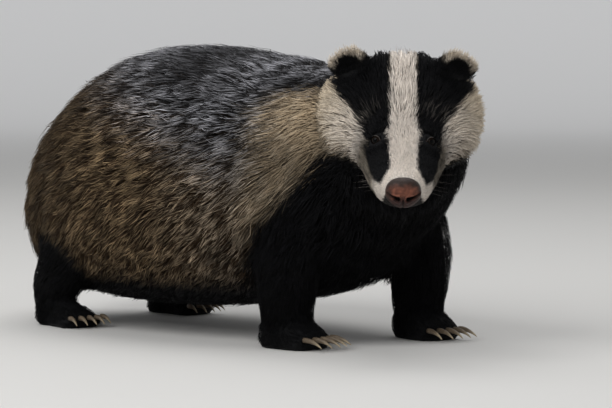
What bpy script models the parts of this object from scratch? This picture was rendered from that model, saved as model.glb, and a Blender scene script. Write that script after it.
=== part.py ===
"""A european badger standing on all fours, with its head lowered and turned to its right.

The solids follow the outline of the coat at life size. The animal is modelled whole from a few
tubes and rounded forms, fused into one surface, and parted with thin cuts into the parts that a
person would name. Lengths are in metres. +X is the way the trunk points, +Y is the animal's
left, and the floor is at z = 0. The origin is the bottom centre of the whole animal's box.
"""

from math import radians

import bmesh
import bpy
import numpy as np
from mathutils import Matrix, Vector

# Gap kept between neighbouring solids
GAP = 0.0003

# Fineness of the fused surface, its smoothing, and how many triangles it keeps
VOXEL = 0.004
SMOOTH_STEPS = 6
SMOOTH_FACTOR = 0.5
FUSED_TRIANGLES = 3400

# Sides round each tube, and rings along it
HEAD_RINGS = 60
TUBE_SIDES = 32
TUBE_RINGS = 40

# How full the sections are: 2 is an ellipse, and more is squarer
ROUNDNESS = 2.15

# Stations of the tubes: place of the axis (x, y, z), half width, height over it, height under it
TRUNK = (
    (-0.234, 0.000, 0.143, 0.012, 0.012, 0.012),
    (-0.226, 0.000, 0.142, 0.050, 0.046, 0.045),
    (-0.199, 0.000, 0.136, 0.092, 0.091, 0.088),
    (-0.150, 0.000, 0.130, 0.123, 0.129, 0.103),
    (-0.083, 0.000, 0.128, 0.142, 0.156, 0.107),
    (0.000, 0.000, 0.130, 0.146, 0.161, 0.108),
    (0.080, 0.000, 0.135, 0.138, 0.150, 0.106),
    (0.150, 0.000, 0.140, 0.122, 0.134, 0.098),
    (0.205, 0.000, 0.145, 0.098, 0.110, 0.082),
    (0.240, 0.000, 0.145, 0.060, 0.070, 0.052),
    (0.252, 0.000, 0.145, 0.014, 0.016, 0.014),
)
NECK = (
    (0.070, 0.000, 0.160, 0.090, 0.090, 0.080),
    (0.140, 0.000, 0.172, 0.108, 0.100, 0.100),
    (0.200, -0.004, 0.186, 0.100, 0.088, 0.105),
    (0.250, -0.018, 0.200, 0.088, 0.076, 0.095),
    (0.295, -0.045, 0.200, 0.070, 0.060, 0.070),
)
# The tail's and legs' half width is to the side, and their heights are in front and behind
TAIL = (
    (-0.180, 0.006, 0.200, 0.030, 0.026, 0.026),
    (-0.222, 0.014, 0.176, 0.036, 0.028, 0.026),
    (-0.250, 0.025, 0.140, 0.036, 0.026, 0.023),
    (-0.264, 0.033, 0.100, 0.031, 0.022, 0.020),
    (-0.266, 0.037, 0.064, 0.020, 0.015, 0.014),
    (-0.264, 0.038, 0.048, 0.006, 0.005, 0.005),
)
FRONT_LEG = (
    (-0.006, -0.016, 0.150, 0.030, 0.040, 0.040),
    (-0.007, -0.006, 0.110, 0.036, 0.042, 0.044),
    (-0.004, 0.000, 0.070, 0.032, 0.034, 0.036),
    (-0.004, 0.000, 0.035, 0.027, 0.027, 0.029),
    (0.000, 0.000, 0.010, 0.022, 0.022, 0.022),
)
HIND_LEG = (
    (0.036, -0.016, 0.150, 0.030, 0.046, 0.046),
    (0.024, -0.008, 0.105, 0.038, 0.052, 0.052),
    (0.000, 0.000, 0.065, 0.032, 0.040, 0.036),
    (-0.018, 0.000, 0.035, 0.024, 0.028, 0.024),
    (-0.016, 0.000, 0.012, 0.020, 0.022, 0.018),
)
# The head's stations are in its own frame: +X to the nose, z = 0 at the eyes
HEAD = (
    (-0.140, 0.000, -0.020, 0.040, 0.040, 0.040),
    (-0.118, 0.000, -0.030, 0.070, 0.064, 0.048),
    (-0.090, 0.000, -0.034, 0.083, 0.071, 0.047),
    (-0.062, 0.000, -0.034, 0.079, 0.069, 0.044),
    (-0.034, 0.000, -0.030, 0.067, 0.058, 0.039),
    (-0.008, 0.000, -0.026, 0.050, 0.045, 0.033),
    (0.022, 0.000, -0.022, 0.038, 0.033, 0.028),
    (0.046, 0.000, -0.019, 0.0300, 0.023, 0.024),
    (0.060, 0.000, -0.018, 0.0225, 0.018, 0.019),
    (0.067, 0.000, -0.018, 0.0125, 0.012, 0.012),
)
FRONT_PAW = (
    (-0.034, 0.000, 0.014, 0.010, 0.008, 0.014),
    (-0.026, 0.000, 0.014, 0.020, 0.018, 0.016),
    (-0.004, 0.000, 0.014, 0.027, 0.021, 0.018),
    (0.018, 0.000, 0.012, 0.027, 0.015, 0.016),
    (0.030, 0.000, 0.010, 0.022, 0.008, 0.012),
)
HIND_PAW = (
    (-0.042, 0.000, 0.012, 0.009, 0.008, 0.013),
    (-0.034, 0.000, 0.013, 0.017, 0.017, 0.015),
    (-0.008, 0.000, 0.012, 0.021, 0.018, 0.016),
    (0.018, 0.000, 0.011, 0.023, 0.014, 0.015),
    (0.030, 0.000, 0.010, 0.019, 0.008, 0.012),
)

# Where the head's frame sits in the animal's, and how it is turned
HEAD_PLACE = Vector((0.343, -0.092, 0.2045))
HEAD_YAW = radians(-45.0)
HEAD_PITCH = radians(31.0)
HEAD_ROLL = radians(-2.0)

# Forms on the head, in its own frame: places on the left side, and half sizes
EAR_PLACE = Vector((-0.078, 0.0505, 0.0285))
EAR_HALF = Vector((0.009, 0.0212, 0.0158))
EAR_LEAN = radians(24.0)
EAR_BASE = -0.006
EYE_PLACE = Vector((0.0075, 0.0236, 0.0018))
EYE_RADIUS = 0.0054
NOSE_PLACE = Vector((0.066, 0.0, -0.0150))
NOSE_HALF = Vector((0.0095, 0.0162, 0.0147))

# Feet: place of each on the floor, and how far the toes turn towards the middle
FEET = {
    "front_right": (0.182, -0.078, radians(6.0)),
    "front_left": (0.205, 0.078, radians(-6.0)),
    "hind_right": (-0.135, -0.088, radians(-4.0)),
    "hind_left": (-0.157, 0.086, radians(4.0)),
}
TOES = 5
TOE_SPREAD = 0.0100
TOE_HALF = Vector((0.0125, 0.0062, 0.0085))
TOE_FRONT = 0.028
TOE_CURVE = 0.005
TOE_HEIGHT = 0.0085

# Claws: length past the toe, length inside it, half width and half height at the root, how far the
# root is over the toe's middle, how far the tip droops, how much it narrows, and how the row fans out
FRONT_CLAW = 0.022
HIND_CLAW = 0.012
CLAW_ROOT = 0.0050
CLAW_HALF_WIDTH = 0.0024
CLAW_HALF_HEIGHT = 0.0030
CLAW_OVER_TOE = 0.002
CLAW_DROOP = 0.0065
CLAW_TAPER = 0.82
CLAW_TAPER_POWER = 1.4
CLAW_FAN = radians(3.0)
CLAW_SIDES = 5
CLAW_RINGS = 4

# Cuts between the parts: how much wider than a limb or the head they are, the paws' sloping cut, the
# ears' cut, how fine the cut tubes are, the neck's plane, and how many gaps clear a part in a hollow
LIMB_CUT = 1.22
HEAD_CUT = 1.08
HEAD_CUT_GROW = 0.006
HEAD_CUT_SIDES = 16
HEAD_CUT_RINGS = 8
PAW_CUT_HEIGHT = 0.030
PAW_CUT_SLOPE = radians(14.0)
PAW_CUT_LOW = Vector((-0.047, -0.032, -0.060))
PAW_CUT_HIGH = Vector((0.050, 0.032))
EAR_CUT_HALF = 0.022
EAR_CUT_TOP = Vector((0.022, 0.022, 0.040))
CUT_SIDES = 10
CUT_RINGS = 5
NECK_CUT_PLACE = Vector((0.185, 0.000, 0.195))
NECK_CUT_NORMAL = Vector((0.80, -0.16, 0.58))
NECK_CUT_REACH = 0.4
HOLLOW_GAP = 1.4 * GAP
CLAW_GAP = 1.3 * GAP

# Faces round and along the rounded parts
BALL_GRID = {"segments": 20, "rings": 12}
NOSE_GRID = {"segments": 16, "rings": 8}
SMALL_GRID = {"segments": 12, "rings": 8}


def clear_scene():
    """Remove whatever objects the file holds."""
    for found in list(bpy.data.objects):
        bpy.data.objects.remove(found, do_unlink=True)


def smooth_rows(rows, count):
    """Rows read at even steps from a cubic curve that passes through every given row."""
    rows = np.array(rows, float)
    steps = np.linalg.norm(np.diff(rows[:, :3], axis=0), axis=1)
    knots = np.concatenate(([0.0], np.cumsum(steps)))
    slopes = np.gradient(rows, knots, axis=0)
    at = np.linspace(0.0, knots[-1], count)
    cell = np.clip(np.searchsorted(knots, at, side="right") - 1, 0, len(knots) - 2)
    width = (knots[cell + 1] - knots[cell])[:, None]
    t = (at[:, None] - knots[cell][:, None]) / width
    start = (2 * t**3 - 3 * t**2 + 1) * rows[cell]
    end = (3 * t**2 - 2 * t**3) * rows[cell + 1]
    lead = (t**3 - 2 * t**2 + t) * width * slopes[cell]
    trail = (t**3 - t**2) * width * slopes[cell + 1]
    return start + end + lead + trail


def closed_form(name, rings):
    """A closed object from rings of points, each ring joined to the next and the ends filled."""
    mesh = bmesh.new()
    loops = [[mesh.verts.new(point) for point in ring] for ring in rings]
    for before, after in zip(loops[:-1], loops[1:]):
        for i in range(len(before)):
            j = (i + 1) % len(before)
            mesh.faces.new((before[i], before[j], after[j], after[i]))
    mesh.faces.new(loops[0])
    mesh.faces.new(loops[-1])
    bmesh.ops.recalc_face_normals(mesh, faces=mesh.faces)
    return new_object(name, mesh)


def new_object(name, mesh):
    """An object in the scene that holds the given bmesh, which is freed."""
    data = bpy.data.meshes.new(name)
    mesh.to_mesh(data)
    mesh.free()
    made = bpy.data.objects.new(name, data)
    bpy.context.scene.collection.objects.link(made)
    return made


def tube(
    name,
    stations,
    place,
    upright=False,
    scale=1.0,
    grow=0.0,
    sides=TUBE_SIDES,
    rings=TUBE_RINGS,
):
    """A tube through the stations, with rounded sections across its path.

    An upright tube, such as a leg, measures its heights to the front and back.
    """
    rows = smooth_rows(stations, rings)
    path = rows[:, :3]
    along = np.gradient(path, axis=0)
    along /= np.linalg.norm(along, axis=1)[:, None]
    path[0] -= along[0] * grow
    path[-1] += along[-1] * grow
    reference = np.array((1.0, 0.0, 0.0) if upright else (0.0, 0.0, 1.0))
    side = np.cross(reference, along)
    side /= np.linalg.norm(side, axis=1)[:, None]
    over = np.cross(along, side)
    turn = np.linspace(0.0, 2.0 * np.pi, sides, endpoint=False)
    wide = np.sign(np.cos(turn)) * np.abs(np.cos(turn)) ** (2.0 / ROUNDNESS)
    high = np.sign(np.sin(turn)) * np.abs(np.sin(turn)) ** (2.0 / ROUNDNESS)
    half = rows[:, 3:] * scale + grow
    across = wide[None, :] * half[:, 0:1]
    above = high[None, :] * half[:, 1:2]
    below = high[None, :] * half[:, 2:3]
    height = np.where(high[None, :] > 0.0, above, below)
    points = path[:, None, :] + across[:, :, None] * side[:, None, :]
    points += height[:, :, None] * over[:, None, :]
    made = closed_form(name, points.tolist())
    made.data.transform(place)
    return made


def rounded(name, place, half, grow=0.0, grid=BALL_GRID):
    """An ellipsoid with the given half sizes, in the given placed frame."""
    mesh = bmesh.new()
    bmesh.ops.create_uvsphere(mesh, u_segments=grid["segments"], v_segments=grid["rings"], radius=1.0)
    made = new_object(name, mesh)
    size = Matrix.Diagonal((half[0] + grow, half[1] + grow, half[2] + grow, 1.0))
    made.data.transform(place @ size)
    return made


def block(name, place, low, high):
    """A box from its low corner to its high corner, in the given placed frame."""
    mesh = bmesh.new()
    bmesh.ops.create_cube(mesh, size=1.0)
    made = new_object(name, mesh)
    low = Vector(low)
    high = Vector(high)
    size = high - low
    made.data.transform(place @ Matrix.Translation((low + high) / 2) @ Matrix.Diagonal((*size, 1.0)))
    return made


def head_frame():
    """The head's frame: forwards, then left, then up."""
    turned = Matrix.Rotation(HEAD_YAW, 4, "Z") @ Matrix.Rotation(HEAD_PITCH, 4, "Y")
    return Matrix.Translation(HEAD_PLACE) @ turned @ Matrix.Rotation(HEAD_ROLL, 4, "X")


def foot_frame(foot):
    """A foot's frame: its middle on the floor, with +X towards its toes."""
    x, y, turn = FEET[foot]
    return Matrix.Translation((x, y, 0.0)) @ Matrix.Rotation(turn, 4, "Z")


def mirrored(stations, side):
    """The stations with every sideways measure given for the left (+1) or the right (-1) side."""
    return tuple((x, y * side, z, *half) for x, y, z, *half in stations)


def side_of(name):
    """+1 for what is on the animal's left, and -1 for its right."""
    return 1 if name.endswith("left") else -1


def ear_frame(side):
    """An ear's frame on the head: its middle, with +Z towards its tip."""
    place = Vector((EAR_PLACE.x, EAR_PLACE.y * side, EAR_PLACE.z))
    return head_frame() @ Matrix.Translation(place) @ Matrix.Rotation(-EAR_LEAN * side, 4, "X")


def settle(made):
    """Replace an object's mesh with what its modifiers give, and drop the modifiers."""
    depsgraph = bpy.context.evaluated_depsgraph_get()
    result = bpy.data.meshes.new_from_object(made.evaluated_get(depsgraph))
    made.modifiers.clear()
    made.data = result


def carve(made, cutter, operation):
    """Apply one exact Boolean of the cutter to the object."""
    step = made.modifiers.new("carve", "BOOLEAN")
    step.operation = operation
    step.solver = "EXACT"
    step.object = cutter
    settle(made)


def copy_of(made, name):
    """A second object with its own copy of the mesh."""
    twin = bpy.data.objects.new(name, made.data.copy())
    bpy.context.scene.collection.objects.link(twin)
    return twin


def part_off(rest, name, cutter, wider_cutter):
    """Take the part inside the cutter off the rest, with a thin gap between the two."""
    part = copy_of(rest, name)
    carve(part, cutter, "INTERSECT")
    carve(rest, wider_cutter, "DIFFERENCE")
    bpy.data.objects.remove(cutter)
    bpy.data.objects.remove(wider_cutter)
    keep_largest(part)
    keep_largest(rest)
    return part


def keep_largest(made):
    """Keep the one body with the most faces, without crumbs that a cut may leave."""
    mesh = bmesh.new()
    mesh.from_mesh(made.data)
    unseen = set(mesh.verts)
    bodies = []
    while unseen:
        body = []
        edge = [unseen.pop()]
        while edge:
            vert = edge.pop()
            body.append(vert)
            for link in vert.link_edges:
                other = link.other_vert(vert)
                if other in unseen:
                    unseen.remove(other)
                    edge.append(other)
        bodies.append(body)
    bodies.sort(key=len)
    for body in bodies[:-1]:
        bmesh.ops.delete(mesh, geom=body, context="VERTS")
    bmesh.ops.triangulate(mesh, faces=mesh.faces)
    mesh.to_mesh(made.data)
    mesh.free()


def leg_stations(foot):
    """The stations of the leg over a foot."""
    stations = FRONT_LEG if foot.startswith("front") else HIND_LEG
    return mirrored(stations, side_of(foot))


def paw_stations(foot):
    """The stations of a paw, from its heel to its toes."""
    return FRONT_PAW if foot.startswith("front") else HIND_PAW


def leg_tube(name, foot, **sizes):
    """The tube of a leg, standing over its foot."""
    x, y, turn = FEET[foot]
    return tube(name, leg_stations(foot), Matrix.Translation((x, y, 0.0)), upright=True, **sizes)


def toe_middle(number):
    """How far a toe is from the middle of the paw, in toes, to its left or right."""
    return number - (TOES - 1) / 2


def toe_place(across):
    """The middle of a toe in its foot's frame, further back towards the ends of the row."""
    return Vector((TOE_FRONT - TOE_CURVE * (across / 2) ** 2, across * TOE_SPREAD, TOE_HEIGHT))


def toes(foot):
    """The five toes of a paw, in an arc across its front."""
    made = []
    for number in range(TOES):
        across = toe_middle(number)
        place = foot_frame(foot) @ Matrix.Translation(toe_place(across))
        made.append(rounded("toe", place, TOE_HALF, grid=SMALL_GRID))
    return made


def claw(name, foot, number, grow=0.0):
    """A claw: a tapered form along a downward arc, rooted in the front of its toe."""
    across = toe_middle(number)
    length = FRONT_CLAW if foot.startswith("front") else HIND_CLAW
    root = toe_place(across) + Vector((TOE_HALF.x, 0.0, CLAW_OVER_TOE))
    rows = []
    for ring in range(CLAW_RINGS):
        part = ring / (CLAW_RINGS - 1)
        x = -CLAW_ROOT + (length + CLAW_ROOT) * part
        z = -CLAW_DROOP * part**2
        taper = 1.0 - CLAW_TAPER * part**CLAW_TAPER_POWER
        height = CLAW_HALF_HEIGHT * taper
        rows.append((x, 0.0, z, CLAW_HALF_WIDTH * taper, height, height))
    fan = Matrix.Rotation(across * CLAW_FAN, 4, "Z")
    place = foot_frame(foot) @ Matrix.Translation(root) @ fan
    return tube(name, rows, place, grow=grow, sides=CLAW_SIDES, rings=CLAW_RINGS)


def whole_animal():
    """The animal in one piece, without its eyes, nose and claws."""
    level = Matrix.Identity(4)
    forms = [
        tube("trunk_form", TRUNK, level),
        tube("neck_form", NECK, level),
        tube("head_form", HEAD, head_frame(), rings=HEAD_RINGS),
        tube("tail_form", TAIL, level, upright=True),
    ]
    for side in (1, -1):
        forms.append(rounded("ear_form", ear_frame(side), EAR_HALF))
    for foot in FEET:
        forms.append(leg_tube("leg_form", foot))
        forms.append(tube("paw_form", paw_stations(foot), foot_frame(foot)))
        forms.extend(toes(foot))
    mesh = bmesh.new()
    for form in forms:
        mesh.from_mesh(form.data)
        bpy.data.objects.remove(form)
    whole = new_object("trunk", mesh)
    fuse = whole.modifiers.new("fuse", "REMESH")
    fuse.mode = "VOXEL"
    fuse.voxel_size = VOXEL
    soften = whole.modifiers.new("soften", "SMOOTH")
    soften.factor = SMOOTH_FACTOR
    soften.iterations = SMOOTH_STEPS
    settle(whole)
    triangles = 2 * len(whole.data.polygons)
    lighten = whole.modifiers.new("lighten", "DECIMATE")
    lighten.ratio = FUSED_TRIANGLES / triangles
    settle(whole)
    floor_cut = block("floor_cut", level, (-1.0, -1.0, -0.5), (1.0, 1.0, 0.0))
    carve(whole, floor_cut, "DIFFERENCE")
    bpy.data.objects.remove(floor_cut)
    return whole


def part_limbs(whole):
    """Part the paws, legs and tail from the trunk."""
    made = {}
    fine = {"sides": CUT_SIDES, "rings": CUT_RINGS}
    for foot in FEET:
        slope = foot_frame(foot) @ Matrix.Translation((0.0, 0.0, PAW_CUT_HEIGHT))
        slope = slope @ Matrix.Rotation(PAW_CUT_SLOPE, 4, "Y")
        cutters = [
            block("cut", slope, PAW_CUT_LOW, (PAW_CUT_HIGH.x, PAW_CUT_HIGH.y, extra))
            for extra in (0.0, GAP)
        ]
        made["paw_" + foot] = part_off(whole, "paw_" + foot, *cutters)
    for foot in FEET:
        cutters = [
            leg_tube("cut", foot, scale=LIMB_CUT, grow=extra, **fine)
            for extra in (0.0, GAP)
        ]
        made["leg_" + foot] = part_off(whole, "leg_" + foot, *cutters)
    cutters = [
        tube("cut", TAIL, Matrix.Identity(4), upright=True, scale=LIMB_CUT, grow=extra, **fine)
        for extra in (0.0, GAP)
    ]
    made["tail"] = part_off(whole, "tail", *cutters)
    return made


def part_head(whole):
    """Part the ears, then the head from the neck, then the neck from the trunk."""
    made = {}
    for side, name in ((1, "ear_left"), (-1, "ear_right")):
        cutters = [
            block("cut", ear_frame(side), (-EAR_CUT_HALF, -EAR_CUT_HALF, EAR_BASE - extra), EAR_CUT_TOP)
            for extra in (0.0, GAP)
        ]
        made[name] = part_off(whole, name, *cutters)
    fine = {"sides": HEAD_CUT_SIDES, "rings": HEAD_CUT_RINGS}
    cutters = [
        tube("cut", HEAD[1:], head_frame(), scale=HEAD_CUT, grow=HEAD_CUT_GROW + extra, **fine)
        for extra in (0.0, GAP)
    ]
    made["head"] = part_off(whole, "head", *cutters)
    turn = NECK_CUT_NORMAL.to_track_quat("Z", "Y").to_matrix().to_4x4()
    plane = Matrix.Translation(NECK_CUT_PLACE) @ turn
    cutters = [
        block(
            "cut",
            plane,
            (-NECK_CUT_REACH, -NECK_CUT_REACH, -extra),
            (NECK_CUT_REACH, NECK_CUT_REACH, NECK_CUT_REACH),
        )
        for extra in (0.0, GAP)
    ]
    made["neck"] = part_off(whole, "neck", *cutters)
    return made


def add_eyes_and_nose(head):
    """Eyes and a nose pad, each in a hollow of the head that clears it by the gap."""
    made = {}
    for side, name in ((1, "eye_left"), (-1, "eye_right")):
        place = head_frame() @ Matrix.Translation((EYE_PLACE.x, EYE_PLACE.y * side, EYE_PLACE.z))
        half = (EYE_RADIUS, EYE_RADIUS, EYE_RADIUS)
        made[name] = rounded(name, place, half, grid=SMALL_GRID)
        hollow = rounded("hollow", place, half, grow=HOLLOW_GAP, grid=SMALL_GRID)
        carve(head, hollow, "DIFFERENCE")
        bpy.data.objects.remove(hollow)
    place = head_frame() @ Matrix.Translation(NOSE_PLACE)
    made["nose"] = rounded("nose", place, NOSE_HALF, grid=NOSE_GRID)
    hollow = rounded("hollow", place, NOSE_HALF, grow=HOLLOW_GAP, grid=NOSE_GRID)
    carve(head, hollow, "DIFFERENCE")
    bpy.data.objects.remove(hollow)
    keep_largest(head)
    return made


def add_claws(paws):
    """Five claws for each paw, each rooted in a hollow of its toe."""
    made = {}
    for foot in FEET:
        paw = paws["paw_" + foot]
        for number in range(TOES):
            name = "claw_" + foot + "_" + str(number + 1)
            made[name] = claw(name, foot, number)
            hollow = claw("hollow", foot, number, grow=CLAW_GAP)
            carve(paw, hollow, "DIFFERENCE")
            bpy.data.objects.remove(hollow)
        keep_largest(paw)
    return made


def centre_on_floor(parts):
    """Move every part so that the bottom centre of the whole box is the origin."""
    corners = np.array([vert.co for part in parts.values() for vert in part.data.vertices])
    low = corners.min(axis=0)
    high = corners.max(axis=0)
    middle = (low + high) / 2
    shift = Matrix.Translation((-middle[0], -middle[1], -low[2]))
    for part in parts.values():
        part.data.transform(shift)


def material(name, colour, roughness):
    """A plain shiny or dull surface with one colour."""
    made = bpy.data.materials.new(name)
    made.use_nodes = True
    shader = made.node_tree.nodes["Principled BSDF"]
    shader.inputs["Base Color"].default_value = (*colour, 1.0)
    shader.inputs["Roughness"].default_value = roughness
    shader.inputs["Metallic"].default_value = 0.0
    return made


# Colours and roughness of each kind of part
LOOKS = {
    "trunk": ((0.120, 0.105, 0.085), 0.80),
    "neck": ((0.330, 0.290, 0.220), 0.80),
    "head": ((0.450, 0.420, 0.370), 0.75),
    "tail": ((0.340, 0.310, 0.250), 0.80),
    "leg": ((0.012, 0.011, 0.011), 0.75),
    "paw": ((0.010, 0.010, 0.010), 0.75),
    "ear": ((0.300, 0.290, 0.270), 0.80),
    "eye": ((0.008, 0.006, 0.005), 0.08),
    "nose": ((0.110, 0.065, 0.055), 0.35),
    "claw": ((0.180, 0.150, 0.115), 0.40),
}


def finish(parts):
    """Name, colour and smooth-shade each part."""
    for name, part in parts.items():
        part.name = name
        kind = name.split("_")[0]
        part.data.materials.clear()
        part.data.materials.append(material(name, *LOOKS[kind]))
        part.data.shade_smooth()
        part.data.set_sharp_from_angle(angle=radians(40.0))


def main():
    """Build the badger's parts."""
    clear_scene()
    whole = whole_animal()
    parts = part_limbs(whole)
    parts.update(part_head(whole))
    parts["trunk"] = whole
    parts.update(add_eyes_and_nose(parts["head"]))
    parts.update(add_claws(parts))
    centre_on_floor(parts)
    finish(parts)


main()
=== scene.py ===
"""A european badger finished around its fixed solids: skin, coat, lids, eyes, nose, claws and stage."""

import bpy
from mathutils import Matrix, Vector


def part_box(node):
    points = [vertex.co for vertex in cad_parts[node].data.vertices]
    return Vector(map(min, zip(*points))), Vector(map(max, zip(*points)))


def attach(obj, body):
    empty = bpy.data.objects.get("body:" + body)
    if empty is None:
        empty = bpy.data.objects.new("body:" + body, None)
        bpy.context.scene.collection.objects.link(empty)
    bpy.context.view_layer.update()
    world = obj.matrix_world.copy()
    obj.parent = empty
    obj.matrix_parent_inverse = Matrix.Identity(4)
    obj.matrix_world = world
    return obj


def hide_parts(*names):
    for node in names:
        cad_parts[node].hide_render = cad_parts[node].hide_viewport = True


bl_info = {
    "name": "European badger",
    "version": (1, 0, 0),
    "blender": (4, 5, 0),
    "location": "View3D > Sidebar > Badger",
    "description": "Makes a badger's skin, coat, eyes, nose and claws around its packed solids",
    "category": "Object",
}

from collections import namedtuple

import bmesh
import bpy
import numpy as np
from bpy.props import FloatProperty, FloatVectorProperty, IntProperty, PointerProperty
from bpy.types import Operator, Panel, PropertyGroup
from mathutils import Matrix, Vector

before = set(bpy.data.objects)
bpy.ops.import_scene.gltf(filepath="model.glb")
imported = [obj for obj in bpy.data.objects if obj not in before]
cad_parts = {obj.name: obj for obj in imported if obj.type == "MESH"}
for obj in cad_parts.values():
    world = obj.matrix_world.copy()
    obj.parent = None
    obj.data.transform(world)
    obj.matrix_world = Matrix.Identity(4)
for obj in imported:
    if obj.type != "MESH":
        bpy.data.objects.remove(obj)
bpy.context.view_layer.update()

SEED = 24

# Stations of the body's tubes at the outline of the coat, as the solids have them:
# place of the axis (x, y, z), half width, height over it, height under it
TRUNK = (
    (-0.234, 0.000, 0.143, 0.012, 0.012, 0.012),
    (-0.226, 0.000, 0.142, 0.050, 0.046, 0.045),
    (-0.199, 0.000, 0.136, 0.092, 0.091, 0.088),
    (-0.150, 0.000, 0.130, 0.123, 0.129, 0.103),
    (-0.083, 0.000, 0.128, 0.142, 0.156, 0.107),
    (0.000, 0.000, 0.130, 0.146, 0.161, 0.108),
    (0.080, 0.000, 0.135, 0.138, 0.150, 0.106),
    (0.150, 0.000, 0.140, 0.122, 0.134, 0.098),
    (0.205, 0.000, 0.145, 0.098, 0.110, 0.082),
    (0.240, 0.000, 0.145, 0.060, 0.070, 0.052),
    (0.252, 0.000, 0.145, 0.014, 0.016, 0.014),
)
NECK = (
    (0.070, 0.000, 0.160, 0.090, 0.090, 0.080),
    (0.140, 0.000, 0.172, 0.108, 0.100, 0.100),
    (0.200, -0.004, 0.186, 0.100, 0.088, 0.105),
    (0.250, -0.018, 0.200, 0.088, 0.076, 0.095),
    (0.295, -0.045, 0.200, 0.070, 0.060, 0.070),
)
TAIL = (
    (-0.180, 0.006, 0.200, 0.030, 0.026, 0.026),
    (-0.222, 0.014, 0.176, 0.036, 0.028, 0.026),
    (-0.250, 0.025, 0.140, 0.036, 0.026, 0.023),
    (-0.264, 0.033, 0.100, 0.031, 0.022, 0.020),
    (-0.266, 0.037, 0.064, 0.020, 0.015, 0.014),
    (-0.264, 0.038, 0.048, 0.006, 0.005, 0.005),
)
FRONT_LEG = (
    (-0.006, -0.016, 0.150, 0.030, 0.040, 0.040),
    (-0.007, -0.006, 0.110, 0.036, 0.042, 0.044),
    (-0.004, 0.000, 0.070, 0.032, 0.034, 0.036),
    (-0.004, 0.000, 0.035, 0.027, 0.027, 0.029),
    (0.000, 0.000, 0.010, 0.022, 0.022, 0.022),
)
HIND_LEG = (
    (0.036, -0.016, 0.150, 0.030, 0.046, 0.046),
    (0.024, -0.008, 0.105, 0.038, 0.052, 0.052),
    (0.000, 0.000, 0.065, 0.032, 0.040, 0.036),
    (-0.018, 0.000, 0.035, 0.024, 0.028, 0.024),
    (-0.016, 0.000, 0.012, 0.020, 0.022, 0.018),
)
HEAD = (
    (-0.140, 0.000, -0.020, 0.040, 0.040, 0.040),
    (-0.118, 0.000, -0.030, 0.070, 0.064, 0.048),
    (-0.090, 0.000, -0.034, 0.083, 0.071, 0.047),
    (-0.062, 0.000, -0.034, 0.079, 0.069, 0.044),
    (-0.034, 0.000, -0.030, 0.067, 0.058, 0.039),
    (-0.008, 0.000, -0.026, 0.050, 0.045, 0.033),
    (0.022, 0.000, -0.022, 0.038, 0.033, 0.028),
    (0.046, 0.000, -0.019, 0.0300, 0.023, 0.024),
    (0.060, 0.000, -0.018, 0.0225, 0.018, 0.019),
    (0.067, 0.000, -0.018, 0.0125, 0.012, 0.012),
)
FRONT_PAW = (
    (-0.034, 0.000, 0.014, 0.010, 0.008, 0.014),
    (-0.026, 0.000, 0.014, 0.020, 0.018, 0.016),
    (-0.004, 0.000, 0.014, 0.027, 0.021, 0.018),
    (0.018, 0.000, 0.012, 0.027, 0.015, 0.016),
    (0.030, 0.000, 0.010, 0.022, 0.008, 0.012),
)
HIND_PAW = (
    (-0.042, 0.000, 0.012, 0.009, 0.008, 0.013),
    (-0.034, 0.000, 0.013, 0.017, 0.017, 0.015),
    (-0.008, 0.000, 0.012, 0.021, 0.018, 0.016),
    (0.018, 0.000, 0.011, 0.023, 0.014, 0.015),
    (0.030, 0.000, 0.010, 0.019, 0.008, 0.012),
)
ROUNDNESS = 2.15
HEAD_PLACE = Vector((0.343, -0.092, 0.2045))
HEAD_TURN = (np.radians(-45.0), np.radians(31.0), np.radians(-2.0))
EAR_PLACE = Vector((-0.078, 0.0505, 0.0285))
EAR_HALF = (0.009, 0.0212, 0.0158)
EAR_LEAN = np.radians(24.0)
EYE_PLACE = Vector((0.0075, 0.0236, 0.0018))
EYE_RADIUS = 0.0054
EYE_GAZE = Vector((0.74, 0.46, 0.49)).normalized()
NOSE_PLACE = Vector((0.066, 0.0, -0.0150))
NOSE_HALF = (0.0095, 0.0162, 0.0147)
FEET = {
    "front_right": (0.182, -0.078, np.radians(6.0)),
    "front_left": (0.205, 0.078, np.radians(-6.0)),
    "hind_right": (-0.135, -0.088, np.radians(-4.0)),
    "hind_left": (-0.157, 0.086, np.radians(4.0)),
}
TOES = 5
TOE_SPREAD = 0.0100
TOE_HALF = (0.0125, 0.0062, 0.0085)
TOE_FRONT = 0.028
TOE_CURVE = 0.005
TOE_HEIGHT = 0.0085
FRONT_CLAW = 0.022
HIND_CLAW = 0.012
CLAW_ROOT = 0.0050
CLAW_HALF_WIDTH = 0.0024
CLAW_HALF_HEIGHT = 0.0030


def head_matrix():
    """The head's own frame before the model is centred: forwards, left, up."""
    yaw, pitch, roll = HEAD_TURN
    turned = Matrix.Rotation(yaw, 4, "Z") @ Matrix.Rotation(pitch, 4, "Y") @ Matrix.Rotation(roll, 4, "X")
    return Matrix.Translation(HEAD_PLACE) @ turned


def centring():
    """The move that centred the solids: from where the left eye is worked out to where its node is."""
    low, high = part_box("eye_left")
    return (low + high) / 2 - head_matrix() @ EYE_PLACE


SHIFT = Matrix.Translation(centring())
HEAD_FRAME = SHIFT @ head_matrix()


def leg_frame(foot):
    """The frame that a leg's stations are given in: its foot's middle on the floor."""
    x, y, _ = FEET[foot]
    return SHIFT @ Matrix.Translation((x, y, 0.0))


def foot_frame(foot):
    """A foot's frame: its leg's, with +X turned towards the toes."""
    return leg_frame(foot) @ Matrix.Rotation(FEET[foot][2], 4, "Z")


def mirrored(place, side, offset=(0.0, 0.0, 0.0)):
    """A place on the head's left, moved by an offset, or the mirror image of it on the right."""
    return (np.array(place) + offset) * (1.0, side, 1.0)


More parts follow.
